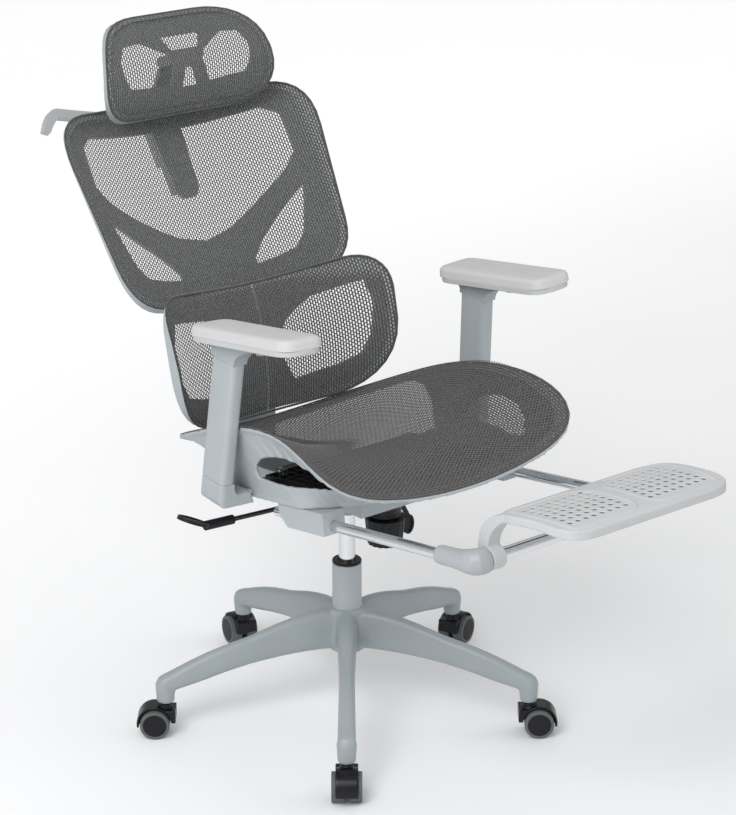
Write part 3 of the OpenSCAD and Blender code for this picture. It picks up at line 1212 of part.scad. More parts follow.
module lumbar_frame() color(grey) panel(lumbar_y, lumbar_z, lumbar_lean) difference() {
    union() {
        difference() {
            intersection() {
                upright(-lumbar_sag * 2, lumbar_set * 3) polygon(lumbar_line(0));
                translate([0, lumbar_set - lumbar_r, 0]) drum(lumbar_r + shell_t, lumbar_up * 4);
            }
            intersection() {
                upright(-lumbar_sag * 3, lumbar_set * 4) polygon(lumbar_line(lip_w));
                translate([0, lumbar_set - lumbar_r, 0]) drum(lumbar_r, lumbar_up * 5);
            }
            upright(-lumbar_sag * 3, lumbar_set * 4) twice()
                polygon(sized(loin_shares, lumbar_top_w, lumbar_up));
            lumbar_ring(mesh_t + mesh_gap);
        }
        twice() lumbar_lug();
    }
    translate([0, lumbar_pivot[0], lumbar_pivot[1]]) bar_x(pivot_r + run_gap, -lumbar_w, lumbar_w);
}
module lumbar_mesh() color(cloth) panel(lumbar_y, lumbar_z, lumbar_lean) intersection() {
    upright(-lumbar_sag * 2, lumbar_set * 2) polygon(lumbar_line(rim_out));
    difference() {
        lumbar_ring(mesh_t);
        lumbar_ring(0);
    }
}
module head_shell(r0, r1) translate([0, head_r, 0]) difference() {
    bar_x(head_r - r0, -head_low_w * 2, head_low_w * 2, 192);
    bar_x(head_r - r1, -head_low_w * 3, head_low_w * 3, 192);
}
module headrest_frame() color(grey) panel(head_y, head_z, head_lean) {
    difference() {
        intersection() {
            upright(0, head_bulge * 2) polygon(head_line(0));
            head_shell(mesh_t + mesh_gap, head_depth);
        }
        intersection() {
            upright(-head_bulge, head_bulge * 2) polygon(head_line(lip_w));
            head_shell(0, head_depth - shell_t);
        }
        upright(0, head_bulge * 2) {
            polygon(both(sized(brow_shares, head_w, head_half_h)));
            polygon(both(sized(chin_shares, head_w, head_half_h)));
            twice() polygon(sized(cheek_shares, head_w, head_half_h));
        }
    }
    twice() across(head_eye_w / 2 + lug_gap, head_eye_w / 2 + lug_gap + head_lug_t) {
        translate([head_pivot_back, head_pivot_up]) circle(r = head_pivot_r, $fn = 48);
        translate([head_depth - shell_t / 2, head_pivot_up - head_pivot_r])
            square([head_pivot_back - head_depth + shell_t / 2, head_pivot_r * 2]);
    }
    translate([0, head_pivot_back, head_pivot_up]) bar_x(head_pin_r, -head_eye_w / 2 - lug_gap * 2,
        head_eye_w / 2 + lug_gap * 2);
}
module headrest_mesh() color(cloth) panel(head_y, head_z, head_lean) intersection() {
    upright(0, head_bulge + shell_t) polygon(head_line(rim_out));
    head_shell(0, mesh_t);
}
stem_n = upper_set + shell_t + guide_wall;
stem_low_at = in_room(upper_y, upper_z, upper_lean, upper_half_h * 0.9 - guide_len, stem_n);
stem_bend_at = in_room(upper_y, upper_z, upper_lean, upper_half_h * 1.03, stem_n);
head_pivot_at = in_room(head_y, head_z, head_lean, head_pivot_up, head_pivot_back);
stem_way = (head_pivot_at - stem_bend_at) / norm(head_pivot_at - stem_bend_at);
stem_across = [stem_way[1], -stem_way[0]] * stem_t;
back_way = [cos(upper_lean), -sin(upper_lean)] * stem_t;
module headrest_stem() color(dark) difference() {
    union() {
        across(-stem_w / 2, stem_w / 2) polygon([stem_low_at, stem_bend_at, head_pivot_at - stem_way * head_pivot_r * 1.8
            - stem_across / 2, head_pivot_at - stem_way * head_pivot_r * 1.8 + stem_across / 2,
            stem_bend_at + back_way, stem_low_at + back_way]);
        across(-head_eye_w / 2, head_eye_w / 2) {
            translate(head_pivot_at) circle(r = head_pivot_r, $fn = 48);
            polygon([head_pivot_at - stem_across / 2, head_pivot_at + stem_across / 2,
                head_pivot_at + stem_across / 2 - stem_way * head_pivot_r * 2,
                head_pivot_at - stem_across / 2 - stem_way * head_pivot_r * 2]);
        }
    }
    translate([0, head_pivot_at[0], head_pivot_at[1]]) bar_x(head_pin_r + run_gap, -stem_w, stem_w);
}
hanger_n = stem_n + stem_t + guide_wall;
hanger_r = (hanger_half_w * hanger_half_w + hanger_sag * hanger_sag) / (2 * hanger_sag) + hanger_t;
module coat_hanger() color(dark) panel(upper_y, upper_z, upper_lean) {
    intersection() {
        upright(hanger_n - hanger_sag * 2, hanger_n + hanger_t) translate([0, hanger_up]) polygon(
            let (q = sized(hanger_shares, hanger_half_w, hanger_drop), d = [0, hanger_h],
            p = concat(bend(q[0], q[1], q[2]), bend(toward(q[2], q[3], ridge_h), q[3] + d / 3, q[4]),
            bend(q[4] - [hanger_h * 0.8, hanger_h * 0.3], q[3] - [hanger_h / 2, hanger_h], q[2] - d),
            bend(toward(q[2], q[1], ridge_h) - d, q[1] - d, q[0] - d))) concat([for (i = [1 : len(p) - 1]) p[i]],
            [for (i = [len(p) - 2 : -1 : 1]) [-p[i][0], p[i][1]]], [p[0]]));
        translate([0, hanger_n + hanger_t - hanger_r, 0]) difference() {
            drum(hanger_r, hanger_up * 4);
            drum(hanger_r - hanger_t, hanger_up * 5);
        }
    }
    upright(hanger_n, hanger_n + hanger_t) translate([-hanger_stalk_w / 2, upper_half_h * 0.5])
        square([hanger_stalk_w, hanger_up - hanger_drop / 2 - hanger_h / 2 - upper_half_h * 0.5]);
}
star_base();
column_tube();
column_guide();
gas_piston();
caster_stems();
caster_hood(1);  // caster_hood_1
caster_hood(2);  // caster_hood_2
caster_hood(3);  // caster_hood_3
caster_hood(4);  // caster_hood_4
caster_hood(5);  // caster_hood_5
caster_wheels(1);  // caster_wheels_1
caster_wheels(2);  // caster_wheels_2
caster_wheels(3);  // caster_wheels_3
caster_wheels(4);  // caster_wheels_4
caster_wheels(5);  // caster_wheels_5
caster_tyres(1);  // caster_tyres_1
caster_tyres(2);  // caster_tyres_2
caster_tyres(3);  // caster_tyres_3
caster_tyres(4);  // caster_tyres_4
caster_tyres(5);  // caster_tyres_5
mechanism_case();
lift_lever();
lift_lever_grip();
tension_spring();
tension_knob();
lock_lever();
seat_frame();
seat_mesh();
seat_pan();
seat_bolts();
slide_housing(-1);  // slide_housing_right
slide_housing(1);  // slide_housing_left
footrest_rod(-1);  // footrest_rod_right
footrest_rod(1);  // footrest_rod_left
footrest_tube();
elbow(-1);  // elbow_right
elbow(1);  // elbow_left
foot_pad();
arm_bracket(-1);  // arm_bracket_right
arm_sleeve(-1);  // arm_sleeve_right
arm_post(-1);  // arm_post_right
arm_button(-1);  // arm_button_right
arm_pad_base(-1);  // arm_pad_base_right
arm_pad(-1);  // arm_pad_right
arm_bracket(1);  // arm_bracket_left
arm_sleeve(1);  // arm_sleeve_left
arm_post(1);  // arm_post_left
arm_button(1);  // arm_button_left
arm_pad_base(1);  // arm_pad_base_left
arm_pad(1);  // arm_pad_left
back_bracket();
back_spine();
upper_frame();
upper_mesh();
lumbar_frame();
lumbar_mesh();
headrest_stem();
headrest_frame();
headrest_mesh();
coat_hanger();
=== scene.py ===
import math

import bmesh
import bpy
import numpy as np
from mathutils import Matrix, Vector


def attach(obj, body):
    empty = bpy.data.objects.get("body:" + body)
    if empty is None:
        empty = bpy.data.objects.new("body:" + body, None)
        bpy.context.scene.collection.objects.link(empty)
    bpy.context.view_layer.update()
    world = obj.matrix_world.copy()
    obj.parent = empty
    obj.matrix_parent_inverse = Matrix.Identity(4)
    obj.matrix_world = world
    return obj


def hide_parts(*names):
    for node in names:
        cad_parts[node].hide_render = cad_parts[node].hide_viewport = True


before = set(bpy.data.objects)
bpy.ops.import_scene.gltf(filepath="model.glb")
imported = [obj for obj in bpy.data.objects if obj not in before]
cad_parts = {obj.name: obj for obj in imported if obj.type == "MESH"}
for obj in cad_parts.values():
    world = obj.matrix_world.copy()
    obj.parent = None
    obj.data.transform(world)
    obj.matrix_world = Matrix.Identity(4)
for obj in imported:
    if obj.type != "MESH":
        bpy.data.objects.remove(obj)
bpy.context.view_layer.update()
scene = bpy.context.scene
rad = math.radians
SIDES = {"right": -1, "left": 1}

# The seat's deck: its height on the column, and how far it leans back
DECK_Z = 0.4244
TILT = rad(8)
DECK = Matrix.Translation((0, 0, DECK_Z)) @ Matrix.Rotation(-TILT, 4, "X")


# Materials
def new_mat(name):
    """A new material, with its node tree, its Principled shader and its object coordinates."""
    m = bpy.data.materials.new(name)
    m.use_nodes = True
    nt = m.node_tree
    nt.nodes.clear()
    out = nt.nodes.new("ShaderNodeOutputMaterial")
    b = nt.nodes.new("ShaderNodeBsdfPrincipled")
    nt.links.new(b.outputs[0], out.inputs[0])
    tc = nt.nodes.new("ShaderNodeTexCoord")
    return m, nt, b, tc.outputs["Object"]


def noise(nt, co, scale, detail=3.0, rough=0.5):
    """Cloudy noise from 0 to 1."""
    n = nt.nodes.new("ShaderNodeTexNoise")
    n.inputs["Scale"].default_value = scale
    n.inputs["Detail"].default_value = detail
    n.inputs["Roughness"].default_value = rough
    nt.links.new(co, n.inputs["Vector"])
    return n.outputs[0]


def ramp(nt, fac, stops):
    """Colours blended over fac, from stops of a place and a colour."""
    r = nt.nodes.new("ShaderNodeValToRGB")
    e = r.color_ramp.elements
    while len(e) < len(stops):
        e.new(0.5)
    for k, (place, colour) in enumerate(stops):
        e[k].position = place
        e[k].color = (*colour, 1)
    nt.links.new(fac, r.inputs[0])
    return r.outputs[0]


def span(nt, fac, lo, hi, start=0.0, end=1.0):
    """Takes fac from the range start to end over to the range lo to hi."""
    r = nt.nodes.new("ShaderNodeMapRange")
    for k, v in enumerate((start, end, lo, hi)):
        r.inputs[k + 1].default_value = v
    nt.links.new(fac, r.inputs[0])
    return r.outputs[0]


def bump(nt, height, strength, dist, bsdf):
    """Fine relief on the shader's normal."""
    b = nt.nodes.new("ShaderNodeBump")
    b.inputs["Strength"].default_value = strength
    b.inputs["Distance"].default_value = dist
    nt.links.new(height, b.inputs["Height"])
    nt.links.new(b.outputs[0], bsdf.inputs["Normal"])


def math_node(nt, operation, a, b=None):
    """A Math node's output; a and b are sockets or numbers."""
    n = nt.nodes.new("ShaderNodeMath")
    n.operation = operation
    for k, v in enumerate((a, b)):
        if isinstance(v, (int, float)):
            n.inputs[k].default_value = v
        elif v is not None:
            nt.links.new(v, n.inputs[k])
    return n.outputs[0]


def mix_node(nt, fac, a, b):
    """A colour Mix node's output, from a to b; each is a socket or a colour."""
    n = nt.nodes.new("ShaderNodeMix")
    n.data_type = "RGBA"
    nt.links.new(fac, n.inputs[0])
    for k, v in ((6, a), (7, b)):
        if isinstance(v, tuple):
            n.inputs[k].default_value = (*v, 1)
        else:
            nt.links.new(v, n.inputs[k])
    return n.outputs[2]


def moulded(name, col, rough, tone=0.05, grain=900.0, depth=0.00008, spec=0.45):
    """Moulded plastic: a fine spark grain, broad faint changes of tone, and dust-dulled patches."""
    m, nt, b, co = new_mat(name)
    broad = noise(nt, co, 9.0, 4.0)
    lo = tuple(c * (1 - tone) for c in col)
    hi = tuple(min(1, c * (1 + tone)) for c in col)
    nt.links.new(ramp(nt, broad, [(0.3, lo), (0.7, hi)]), b.inputs["Base Color"])
    patch = noise(nt, co, 35.0, 5.0, 0.6)
    nt.links.new(span(nt, patch, rough - 0.07, rough + 0.09), b.inputs["Roughness"])
    b.inputs["Specular IOR Level"].default_value = spec
    bump(nt, noise(nt, co, grain, 2.0), 0.35, depth, b)
    return m


def perforated(name, col, rough, mid, half):
    """Moulded sheet with painted shade in its punched holes: steep faces in the box mid +- half are darker.
    """
    m = moulded(name, col, rough)
    nt = m.node_tree
    b = nt.nodes["Principled BSDF"]
    plain = b.inputs["Base Color"].links[0].from_socket
    co = nt.nodes.new("ShaderNodeTexCoord")
    facing, at = nt.nodes.new("ShaderNodeSeparateXYZ"), nt.nodes.new("ShaderNodeSeparateXYZ")
    nt.links.new(co.outputs["Normal"], facing.inputs[0])
    nt.links.new(co.outputs["Object"], at.inputs[0])
    wall = 1.0
    for sock, centre, limit in (
        (facing.outputs[2], 0.0, 0.35),
        (at.outputs[0], mid[0], half[0]),
        (at.outputs[1], mid[1], half[1]),
    ):
        off = math_node(nt, "ABSOLUTE", math_node(nt, "SUBTRACT", sock, centre))
        wall = math_node(nt, "MULTIPLY", wall, math_node(nt, "LESS_THAN", off, limit))
    # Painted shade: the hole walls are darkened to stand in for the shadow inside the holes
    nt.links.new(mix_node(nt, wall, plain, (0.12, 0.123, 0.127)), b.inputs["Base Color"])
    return m


grey = moulded("grey_plastic", (0.40, 0.437, 0.457), 0.42)
# The base's grey is the same grey plastic darkened by painted shade, for the legs lying in the seat's shadow
shaded_base_grey = moulded("grey_plastic_painted_shade", (0.325, 0.362, 0.38), 0.36)
elbow_grey = moulded("elbow_grey_plastic", (0.385, 0.40, 0.425), 0.36)
pale = moulded("pale_grey_plastic", (0.50, 0.51, 0.518), 0.45)
black = moulded("black_plastic", (0.011, 0.011, 0.013), 0.42, tone=0.2, grain=900, depth=0.00006, spec=0.25)
hood_black = moulded("hood_black", (0.008, 0.008, 0.010), 0.25, tone=0.2, grain=500, depth=0.00002, spec=0.3)
tread = moulded("grey_tread", (0.115, 0.128, 0.128), 0.6, tone=0.12, grain=700, depth=0.0001, spec=0.25)
soft_grey = moulded("arm_pad_skin", (0.57, 0.565, 0.57), 0.62, tone=0.03, grain=650, depth=0.00014, spec=0.3)
steel_black = moulded("black_steel", (0.02, 0.02, 0.022), 0.3, tone=0.2, grain=700, depth=0.00004)
# The box that holds the foot pad's holes, whose walls get painted shade: its middle and its half size, each
# across and along
HOLES_MID, HOLES_HALF = (0.0, -0.635), (0.148, 0.058)
pad_grey = perforated("foot_pad_plastic", (0.54, 0.55, 0.558), 0.45, HOLES_MID, HOLES_HALF)


def metal(name, col, rough):
    """Bright metal, a little uneven in tone and in polish."""
    m, nt, b, co = new_mat(name)
    b.inputs["Metallic"].default_value = 1.0
    n = noise(nt, co, 40.0, 5.0)
    nt.links.new(ramp(nt, n, [(0.2, tuple(c * 0.95 for c in col)), (0.8, col)]), b.inputs["Base Color"])
    nt.links.new(span(nt, n, rough * 0.6, rough * 1.5), b.inputs["Roughness"])
    bump(nt, noise(nt, co, 1500.0), 0.1, 0.00002, b)
    return m


chrome = metal("chrome", (0.80, 0.81, 0.83), 0.07)
zinc = metal("zinc_steel", (0.55, 0.55, 0.56), 0.28)


def thread_mat(name, dark_c, light_c, twist):
    """Spun polyester thread: a fine twist along it, fuzzed highlights and uneven dye."""
    m, nt, b, co = new_mat(name)
    w = nt.nodes.new("ShaderNodeTexWave")
    w.inputs["Scale"].default_value = twist
    w.inputs["Distortion"].default_value = 3.0
    w.inputs["Detail"].default_value = 2.0
    nt.links.new(co, w.inputs["Vector"])
    mix = nt.nodes.new("ShaderNodeMix")
    mix.data_type = "FLOAT"
    mix.inputs[0].default_value = 0.5
    nt.links.new(w.outputs[1], mix.inputs[2])
    nt.links.new(noise(nt, co, 160.0, 3.0), mix.inputs[3])
    nt.links.new(ramp(nt, mix.outputs[0], [(0.25, dark_c), (0.75, light_c)]), b.inputs["Base Color"])
    b.inputs["Roughness"].default_value = 0.62
    b.inputs["Specular IOR Level"].default_value = 0.3
    b.inputs["Sheen Weight"].default_value = 0.25
    bump(nt, w.outputs[1], 0.4, 0.0002, b)
    return m


warp_mat = thread_mat("warp_thread", (0.046, 0.044, 0.043), (0.105, 0.101, 0.098), 420.0)
weft_mat = thread_mat("weft_thread", (0.075, 0.072, 0.070), (0.19, 0.183, 0.176), 520.0)
edge_mat = thread_mat("welded_edge", (0.045, 0.043, 0.042), (0.10, 0.096, 0.092), 300.0)


# Helpers for new pieces
def obj_from(name, verts, faces, mats, mat_index):
    """Threads as an object of the scene, each face with its own material."""
    me = bpy.data.meshes.new(name)
    me.from_pydata([tuple(v) for v in verts], [], [tuple(f) for f in faces])
    for m in mats:
        me.materials.append(m)
    me.polygons.foreach_set("material_index", np.asarray(mat_index, dtype=np.int32))
    me.polygons.foreach_set("use_smooth", np.full(len(faces), True))
    me.update()
    o = bpy.data.objects.new(name, me)
    scene.collection.objects.link(o)
    return o


def placed(name, bm, mat):
    """The finished bmesh as an object of the scene, shaded smooth."""
    me = bpy.data.meshes.new(name)
    bm.to_mesh(me)
    bm.free()
    me.polygons.foreach_set("use_smooth", np.full(len(me.polygons), True))
    me.materials.append(mat)
    o = bpy.data.objects.new(name, me)
    scene.collection.objects.link(o)
    return o


def melt(o, voxel, rounds):
    """Makes a piece's surface anew as one skin of small faces, and eases it."""
    r = o.modifiers.new("melt", "REMESH")
    r.mode = "VOXEL"
    r.voxel_size = voxel
    r.use_smooth_shade = True
    e = o.modifiers.new("ease", "SMOOTH")
    e.factor = 0.5
    e.iterations = rounds


def sweep(bm, sides, count, shape):
    """A closed bar, extruded from a circle: shape(k, a, b) is the place of its point (a, b) at station k."""
    ring = bmesh.ops.create_circle(bm, cap_ends=True, segments=sides, radius=1.0)["verts"]
    face = ring[0].link_faces[0]
    unit = [(v.co.x, v.co.y) for v in face.verts]
    for k in range(count):
        if k:
            new = bmesh.ops.extrude_face_region(bm, geom=[face])["geom"]
            if k > 1:
                bmesh.ops.delete(bm, geom=[face], context="FACES_ONLY")
            face = [g for g in new if isinstance(g, bmesh.types.BMFace)][0]
        for v, (a, b) in zip(face.verts, unit):
            v.co = shape(k, a, b)
    bmesh.ops.holes_fill(bm, edges=[e for e in bm.edges if e.is_boundary])
    bmesh.ops.recalc_face_normals(bm, faces=bm.faces)


def soften(p, cuts, n=8):
    """Closed outline with each corner rounded between two points at a set distance from it."""
    out = []
    for i in range(len(p)):
        a, b, c = (np.array(p[k % len(p)], float) for k in (i - 1, i, i + 1))
        s = b + (a - b) * cuts[i] / np.linalg.norm(a - b)
        e = b + (c - b) * cuts[i] / np.linalg.norm(c - b)
        for k in range(n + 1):
            t = k / n
            out.append(s * (1 - t) ** 2 + b * 2 * t * (1 - t) + e * t * t)
    return np.array(out)


class Panel:
    """A leaning panel: x across, v up along it, n behind the mesh face."""

    def __init__(self, y, z, lean, depth):
        self.y, self.z, self.lean, self.depth = y, z, rad(lean), depth

    def at(self, x, v, n=0.0):
        """The place of (x, v, n) in the room."""
        n = n + self.depth(x, v)
        return (
            x,
            self.y + v * math.sin(self.lean) + n * math.cos(self.lean),
            self.z + v * math.cos(self.lean) - n * math.sin(self.lean),
        )

    def normal(self, x, v, e=1e-4):
        """The way the cloth faces at (x, v), from points e to each side."""
        a = np.array(self.at(x + e, v)) - np.array(self.at(x - e, v))
        b = np.array(self.at(x, v + e)) - np.array(self.at(x, v - e))
        k = np.cross(a, b)
        return k / np.linalg.norm(k)


def crossings(poly, x):
    """Lowest and highest place where the line at x crosses a closed outline."""
    hits = []
    for i in range(len(poly)):
        a, b = poly[i], poly[(i + 1) % len(poly)]
        if (a[0] - x) * (b[0] - x) < 0:
            t = (x - a[0]) / (b[0] - a[0])
            hits.append(a[1] + t * (b[1] - a[1]))
    return (min(hits), max(hits)) if len(hits) > 1 else None


def strand(verts, faces, skins, pts, nrm, w, t, skin):
    """A flat thread along pts: a closed four-sided ribbon of width w and thickness t."""
    pts = np.asarray(pts, float)
    nrm = np.asarray(nrm, float)
    d = np.gradient(pts, axis=0)
    d /= np.linalg.norm(d, axis=1)[:, None] + 1e-12
    side = np.cross(d, nrm)
    side /= np.linalg.norm(side, axis=1)[:, None] + 1e-12
    base = len(verts)
    for p, s, n in zip(pts, side, nrm):
        verts.extend((p - s * w / 2, p + n * t / 2, p + s * w / 2, p - n * t / 2))
    for i in range(len(pts) - 1):
        a = base + i * 4
        for k in range(4):
            faces.append((a + k, a + (k + 1) % 4, a + 4 + (k + 1) % 4, a + 4 + k))
            skins.append(skin)
    faces.append((base + 3, base + 2, base + 1, base))
    end = base + (len(pts) - 1) * 4
    faces.append((end, end + 1, end + 2, end + 3))
    skins += [skin, skin]


# The woven cloths: warps up the panel, short ties between neighbours, and a welded edge all round.
# T is a thickness, BACK how far behind the cloth's face the threads lie, and SWAY a share of the pitch.
PITCH_X, PITCH_V = 0.0046, 0.0070
WARP_T, WARP_BACK, WARP_SWAY = 0.0009, 0.0006, 0.05
TIE_T, TIE_BACK = 0.0006, 0.0007
EDGE_W, EDGE_T = 0.0046, 0.0018


def weave(place, outline, at, normal, body, flat, px=PITCH_X, pv=PITCH_V, warp_w=0.5, tie_h=0.28):
    """Open woven mesh: wavy flat warps side by side, tied to each other in turn like courses of brick.

    px and pv are the pitches across and up, warp_w and tie_h the shares of them that warps and ties fill.
    """
    verts, faces, skins = [], [], []
    x0, x1 = outline[:, 0].min(), outline[:, 0].max()
    v0, v1 = outline[:, 1].min(), outline[:, 1].max()
    nx, nv = round((x1 - x0) / px), round((v1 - v0) / pv)
    px, pv = (x1 - x0) / nx, (v1 - v0) / nv
    for i in range(nx):
        x = x0 + (i + 0.5) * px
        ends = crossings(outline, x)
        if ends:
            lo, hi = ends
            line = [(x, lo)]
            for j in range(nv):
                v = v0 + (j + 0.5) * pv
                if lo + pv * 0.2 < v < hi - pv * 0.2:
                    line.append((x + px * WARP_SWAY * (1 if (i + j) % 2 else -1), v))
            line.append((x, hi))
            pts = [at(a, b, WARP_BACK) for a, b in line]
            strand(verts, faces, skins, pts, [normal(a, b) for a, b in line], px * warp_w, WARP_T, 0)
        x += px / 2
        ends = crossings(outline, x)
        if ends and i < nx - 1:
            lo, hi = ends
            for j in range(nv):
                v = v0 + (j + (0.25 if i % 2 else 0.75)) * pv
                if lo + pv * 0.3 < v < hi - pv * 0.3:
                    pts = [at(x - px * 0.5, v, TIE_BACK), at(x + px * 0.5, v, TIE_BACK)]
                    strand(verts, faces, skins, pts, [normal(x, v)] * 2, pv * tie_h, TIE_T, 1)
    ring = np.vstack([outline, outline[:1]])
    pts = [at(a, b, TIE_BACK) for a, b in ring]
    strand(verts, faces, skins, pts, [normal(a, b) for a, b in ring], EDGE_W, EDGE_T, 2)
    o = obj_from(f"{place}_weave", verts, faces, [warp_mat, weft_mat, edge_mat], skins)
    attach(o, body)
    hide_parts(f"{place}_mesh")


def shrink(poly, g):
    """The outline moved inwards by g."""
    c = poly.mean(axis=0)
    nx = np.roll(poly, -1, axis=0) - np.roll(poly, 1, axis=0)
    nrm = np.stack([nx[:, 1], -nx[:, 0]], axis=1)
    nrm /= np.linalg.norm(nrm, axis=1)[:, None] + 1e-12
    sgn = np.sign(((poly - c) * nrm).sum(axis=1))[:, None]
    return poly - nrm * sgn * g


def quad(tw, lw, h, ct, cl):
    """Rounded outline 2h tall: half widths tw at the top and lw below, corner cuts ct and cl."""
    return soften([[-tw, h], [tw, h], [lw, -h], [-lw, -h]], [ct, ct, cl, cl])


def arc_r(half, sag):
    """Radius of the arc over a chord of twice half, sag high."""
    return (half**2 + sag**2) / (2 * sag)


# Upper back: hollow across, so that its sides come forward. Its cloth reaches RIM_OUT past the frame's rim,
# and the middle of its welded edge lies EDGE_IN inside that.
RIM_OUT, EDGE_IN = 0.0025, 0.0024
UPPER_TOP_W, UPPER_LOW_W, UPPER_H, UPPER_SAG = 0.271, 0.234, 0.179, 0.046
upper_r = arc_r((UPPER_TOP_W + UPPER_LOW_W) / 2, UPPER_SAG)
upper = Panel(y=0.394, z=0.826, lean=33.7, depth=lambda x, v: -upper_r + math.sqrt(upper_r**2 - x * x))
top_cut, low_cut = UPPER_H * 0.58, UPPER_H * 0.47
upper_line = quad(UPPER_TOP_W + RIM_OUT, UPPER_LOW_W + RIM_OUT, UPPER_H + RIM_OUT, top_cut, low_cut)
weave("upper", shrink(upper_line, EDGE_IN), upper.at, upper.normal, "back", flat=(0.50, 0.36))

# Lumbar panel: hollow across and bulged forward at its middle height
LUMBAR_TOP_W, LUMBAR_LOW_W = 0.240, 0.226
LUMBAR_TOP, LUMBAR_DIP, LUMBAR_LOW = 0.133, 0.108, 0.110
LUMBAR_SAG, LUMBAR_BULGE = 0.077, 0.024
across_r = arc_r((LUMBAR_TOP_W + LUMBAR_LOW_W) / 2, LUMBAR_SAG)
bulge_r = arc_r(LUMBAR_TOP, LUMBAR_BULGE)


def lumbar_depth(x, v):
    """How far back the lumbar cloth lies at (x, v); less than nothing where it comes forward."""
    r = across_r + bulge_r - math.sqrt(bulge_r**2 - v * v)
    return -across_r + math.sqrt(r**2 - x * x)


lumbar = Panel(y=0.221, z=0.597, lean=10.9, depth=lumbar_depth)
lumbar_line = soften(
    [
        [-LUMBAR_TOP_W, LUMBAR_TOP],
        [0, LUMBAR_DIP],
        [LUMBAR_TOP_W, LUMBAR_TOP],
        [LUMBAR_LOW_W, -LUMBAR_LOW],
        [-LUMBAR_LOW_W, -LUMBAR_LOW],
    ],
    [LUMBAR_LOW * k for k in (0.6, 1.0, 0.6, 1.1, 1.1)],
)
weave("lumbar", lumbar_line, lumbar.at, lumbar.normal, "lumbar", flat=(0.52, 0.28), warp_w=0.56, tie_h=0.34)

# Headrest: bulged forward at its middle height
HEAD_TOP_W, HEAD_LOW_W, HEAD_H, HEAD_BULGE = 0.153, 0.187, 0.087, 0.045
head_r = arc_r(HEAD_H, HEAD_BULGE)
head = Panel(y=0.424, z=1.070, lean=20.8, depth=lambda x, v: head_r - math.sqrt(head_r**2 - v * v))
head_line = quad(HEAD_TOP_W, HEAD_LOW_W, HEAD_H, HEAD_H * 1.03, HEAD_H * 0.92)
weave("headrest", head_line, head.at, head.normal, "headrest", flat=(0.34, 0.21))

# The seat: a squared oval, hollow in the middle. Its side edge follows a cubic through four heights, from the
# rear to the front, and its middle line lies lower by an amount that runs straight from rear to front.
SEAT_W, SEAT_L, SEAT_Y = 0.2505, 0.266, 0.044
SEAT_TAPER_SHARE, SEAT_WAIST_SHARE = -0.0422, 0.1785
SEAT_FRONT_POWER, SEAT_REAR_POWER = 7, 2.5
SEAT_HOLLOW = 0.024
SIDE_REAR, SIDE_BACK, SIDE_FRONT, SIDE_END = 0.132, 0.140, 0.158, 0.090
MID_REAR, MID_FRONT = 0.075, 0.037
SEAT_POINTS = 120


def lens(c, s):
    """Reach of the squared oval in the direction (c, s): nearly square at the front, round at the rear."""
    n = SEAT_FRONT_POWER if s >= 0 else SEAT_REAR_POWER
    return (abs(c) ** n + abs(s) ** n) ** (-1 / n)


def side_h(t):
    """Height of the seat's side edge at t, which runs from -1 at the rear to 1 at the front."""
    return (
        SIDE_REAR * (t + 1 / 3) * (t - 1 / 3) * (t - 1) / (-16 / 9)
        + SIDE_BACK * (t + 1) * (t - 1 / 3) * (t - 1) / (16 / 27)
        + SIDE_FRONT * (t + 1) * (t + 1 / 3) * (t - 1) / (-16 / 27)
        + SIDE_END * (t + 1) * (t + 1 / 3) * (t - 1 / 3) / (16 / 9)
    )


def mid_h(t):
    """Height of the seat's middle line at t."""
    return side_h(t) - (SIDE_REAR - MID_REAR) * (1 - t) / 2 - (SIDE_END - MID_FRONT) * (1 + t) / 2


def half_w(t):
    """The seat's half width at t."""
    return SEAT_W * (1 + SEAT_TAPER_SHARE * t + SEAT_WAIST_SHARE * t * t)


def seat_at(x, v, n=0.0):
    """A point on the seat's surface: x across, v ahead of the column, both in the seat's own plane."""
    t = (v - SEAT_Y) / SEAT_L
    u = x / half_w(t)
    a = math.hypot(u, t)
    k = a / lens(u / a, t / a) if a > 1e-6 else 0
    z = mid_h(t) + (side_h(t) - mid_h(t)) * u * u - SEAT_HOLLOW * (1 - k * k) - n
    return (x, z * math.sin(TILT) - v * math.cos(TILT), DECK_Z + v * math.sin(TILT) + z * math.cos(TILT))


def seat_normal(x, v, e=5e-4):
    """The way the seat faces at (x, v), from points e to each side."""
    a = np.array(seat_at(x + e, v)) - np.array(seat_at(x - e, v))
    b = np.array(seat_at(x, v + e)) - np.array(seat_at(x, v - e))
    k = np.cross(b, a)
    return k / np.linalg.norm(k)


seat_line = []
for i in range(SEAT_POINTS):
    turn = 2 * math.pi * i / SEAT_POINTS
    reach = lens(math.cos(turn), math.sin(turn))
    u, t = math.cos(turn) * reach, math.sin(turn) * reach
    seat_line.append((half_w(t) * u, SEAT_Y + SEAT_L * t))
seat_cloth = {"flat": (0.62, 0.60), "px": 0.0047, "pv": 0.0062, "warp_w": 0.80, "tie_h": 0.55}
weave("seat", np.array(seat_line), seat_at, seat_normal, "seat", **seat_cloth)


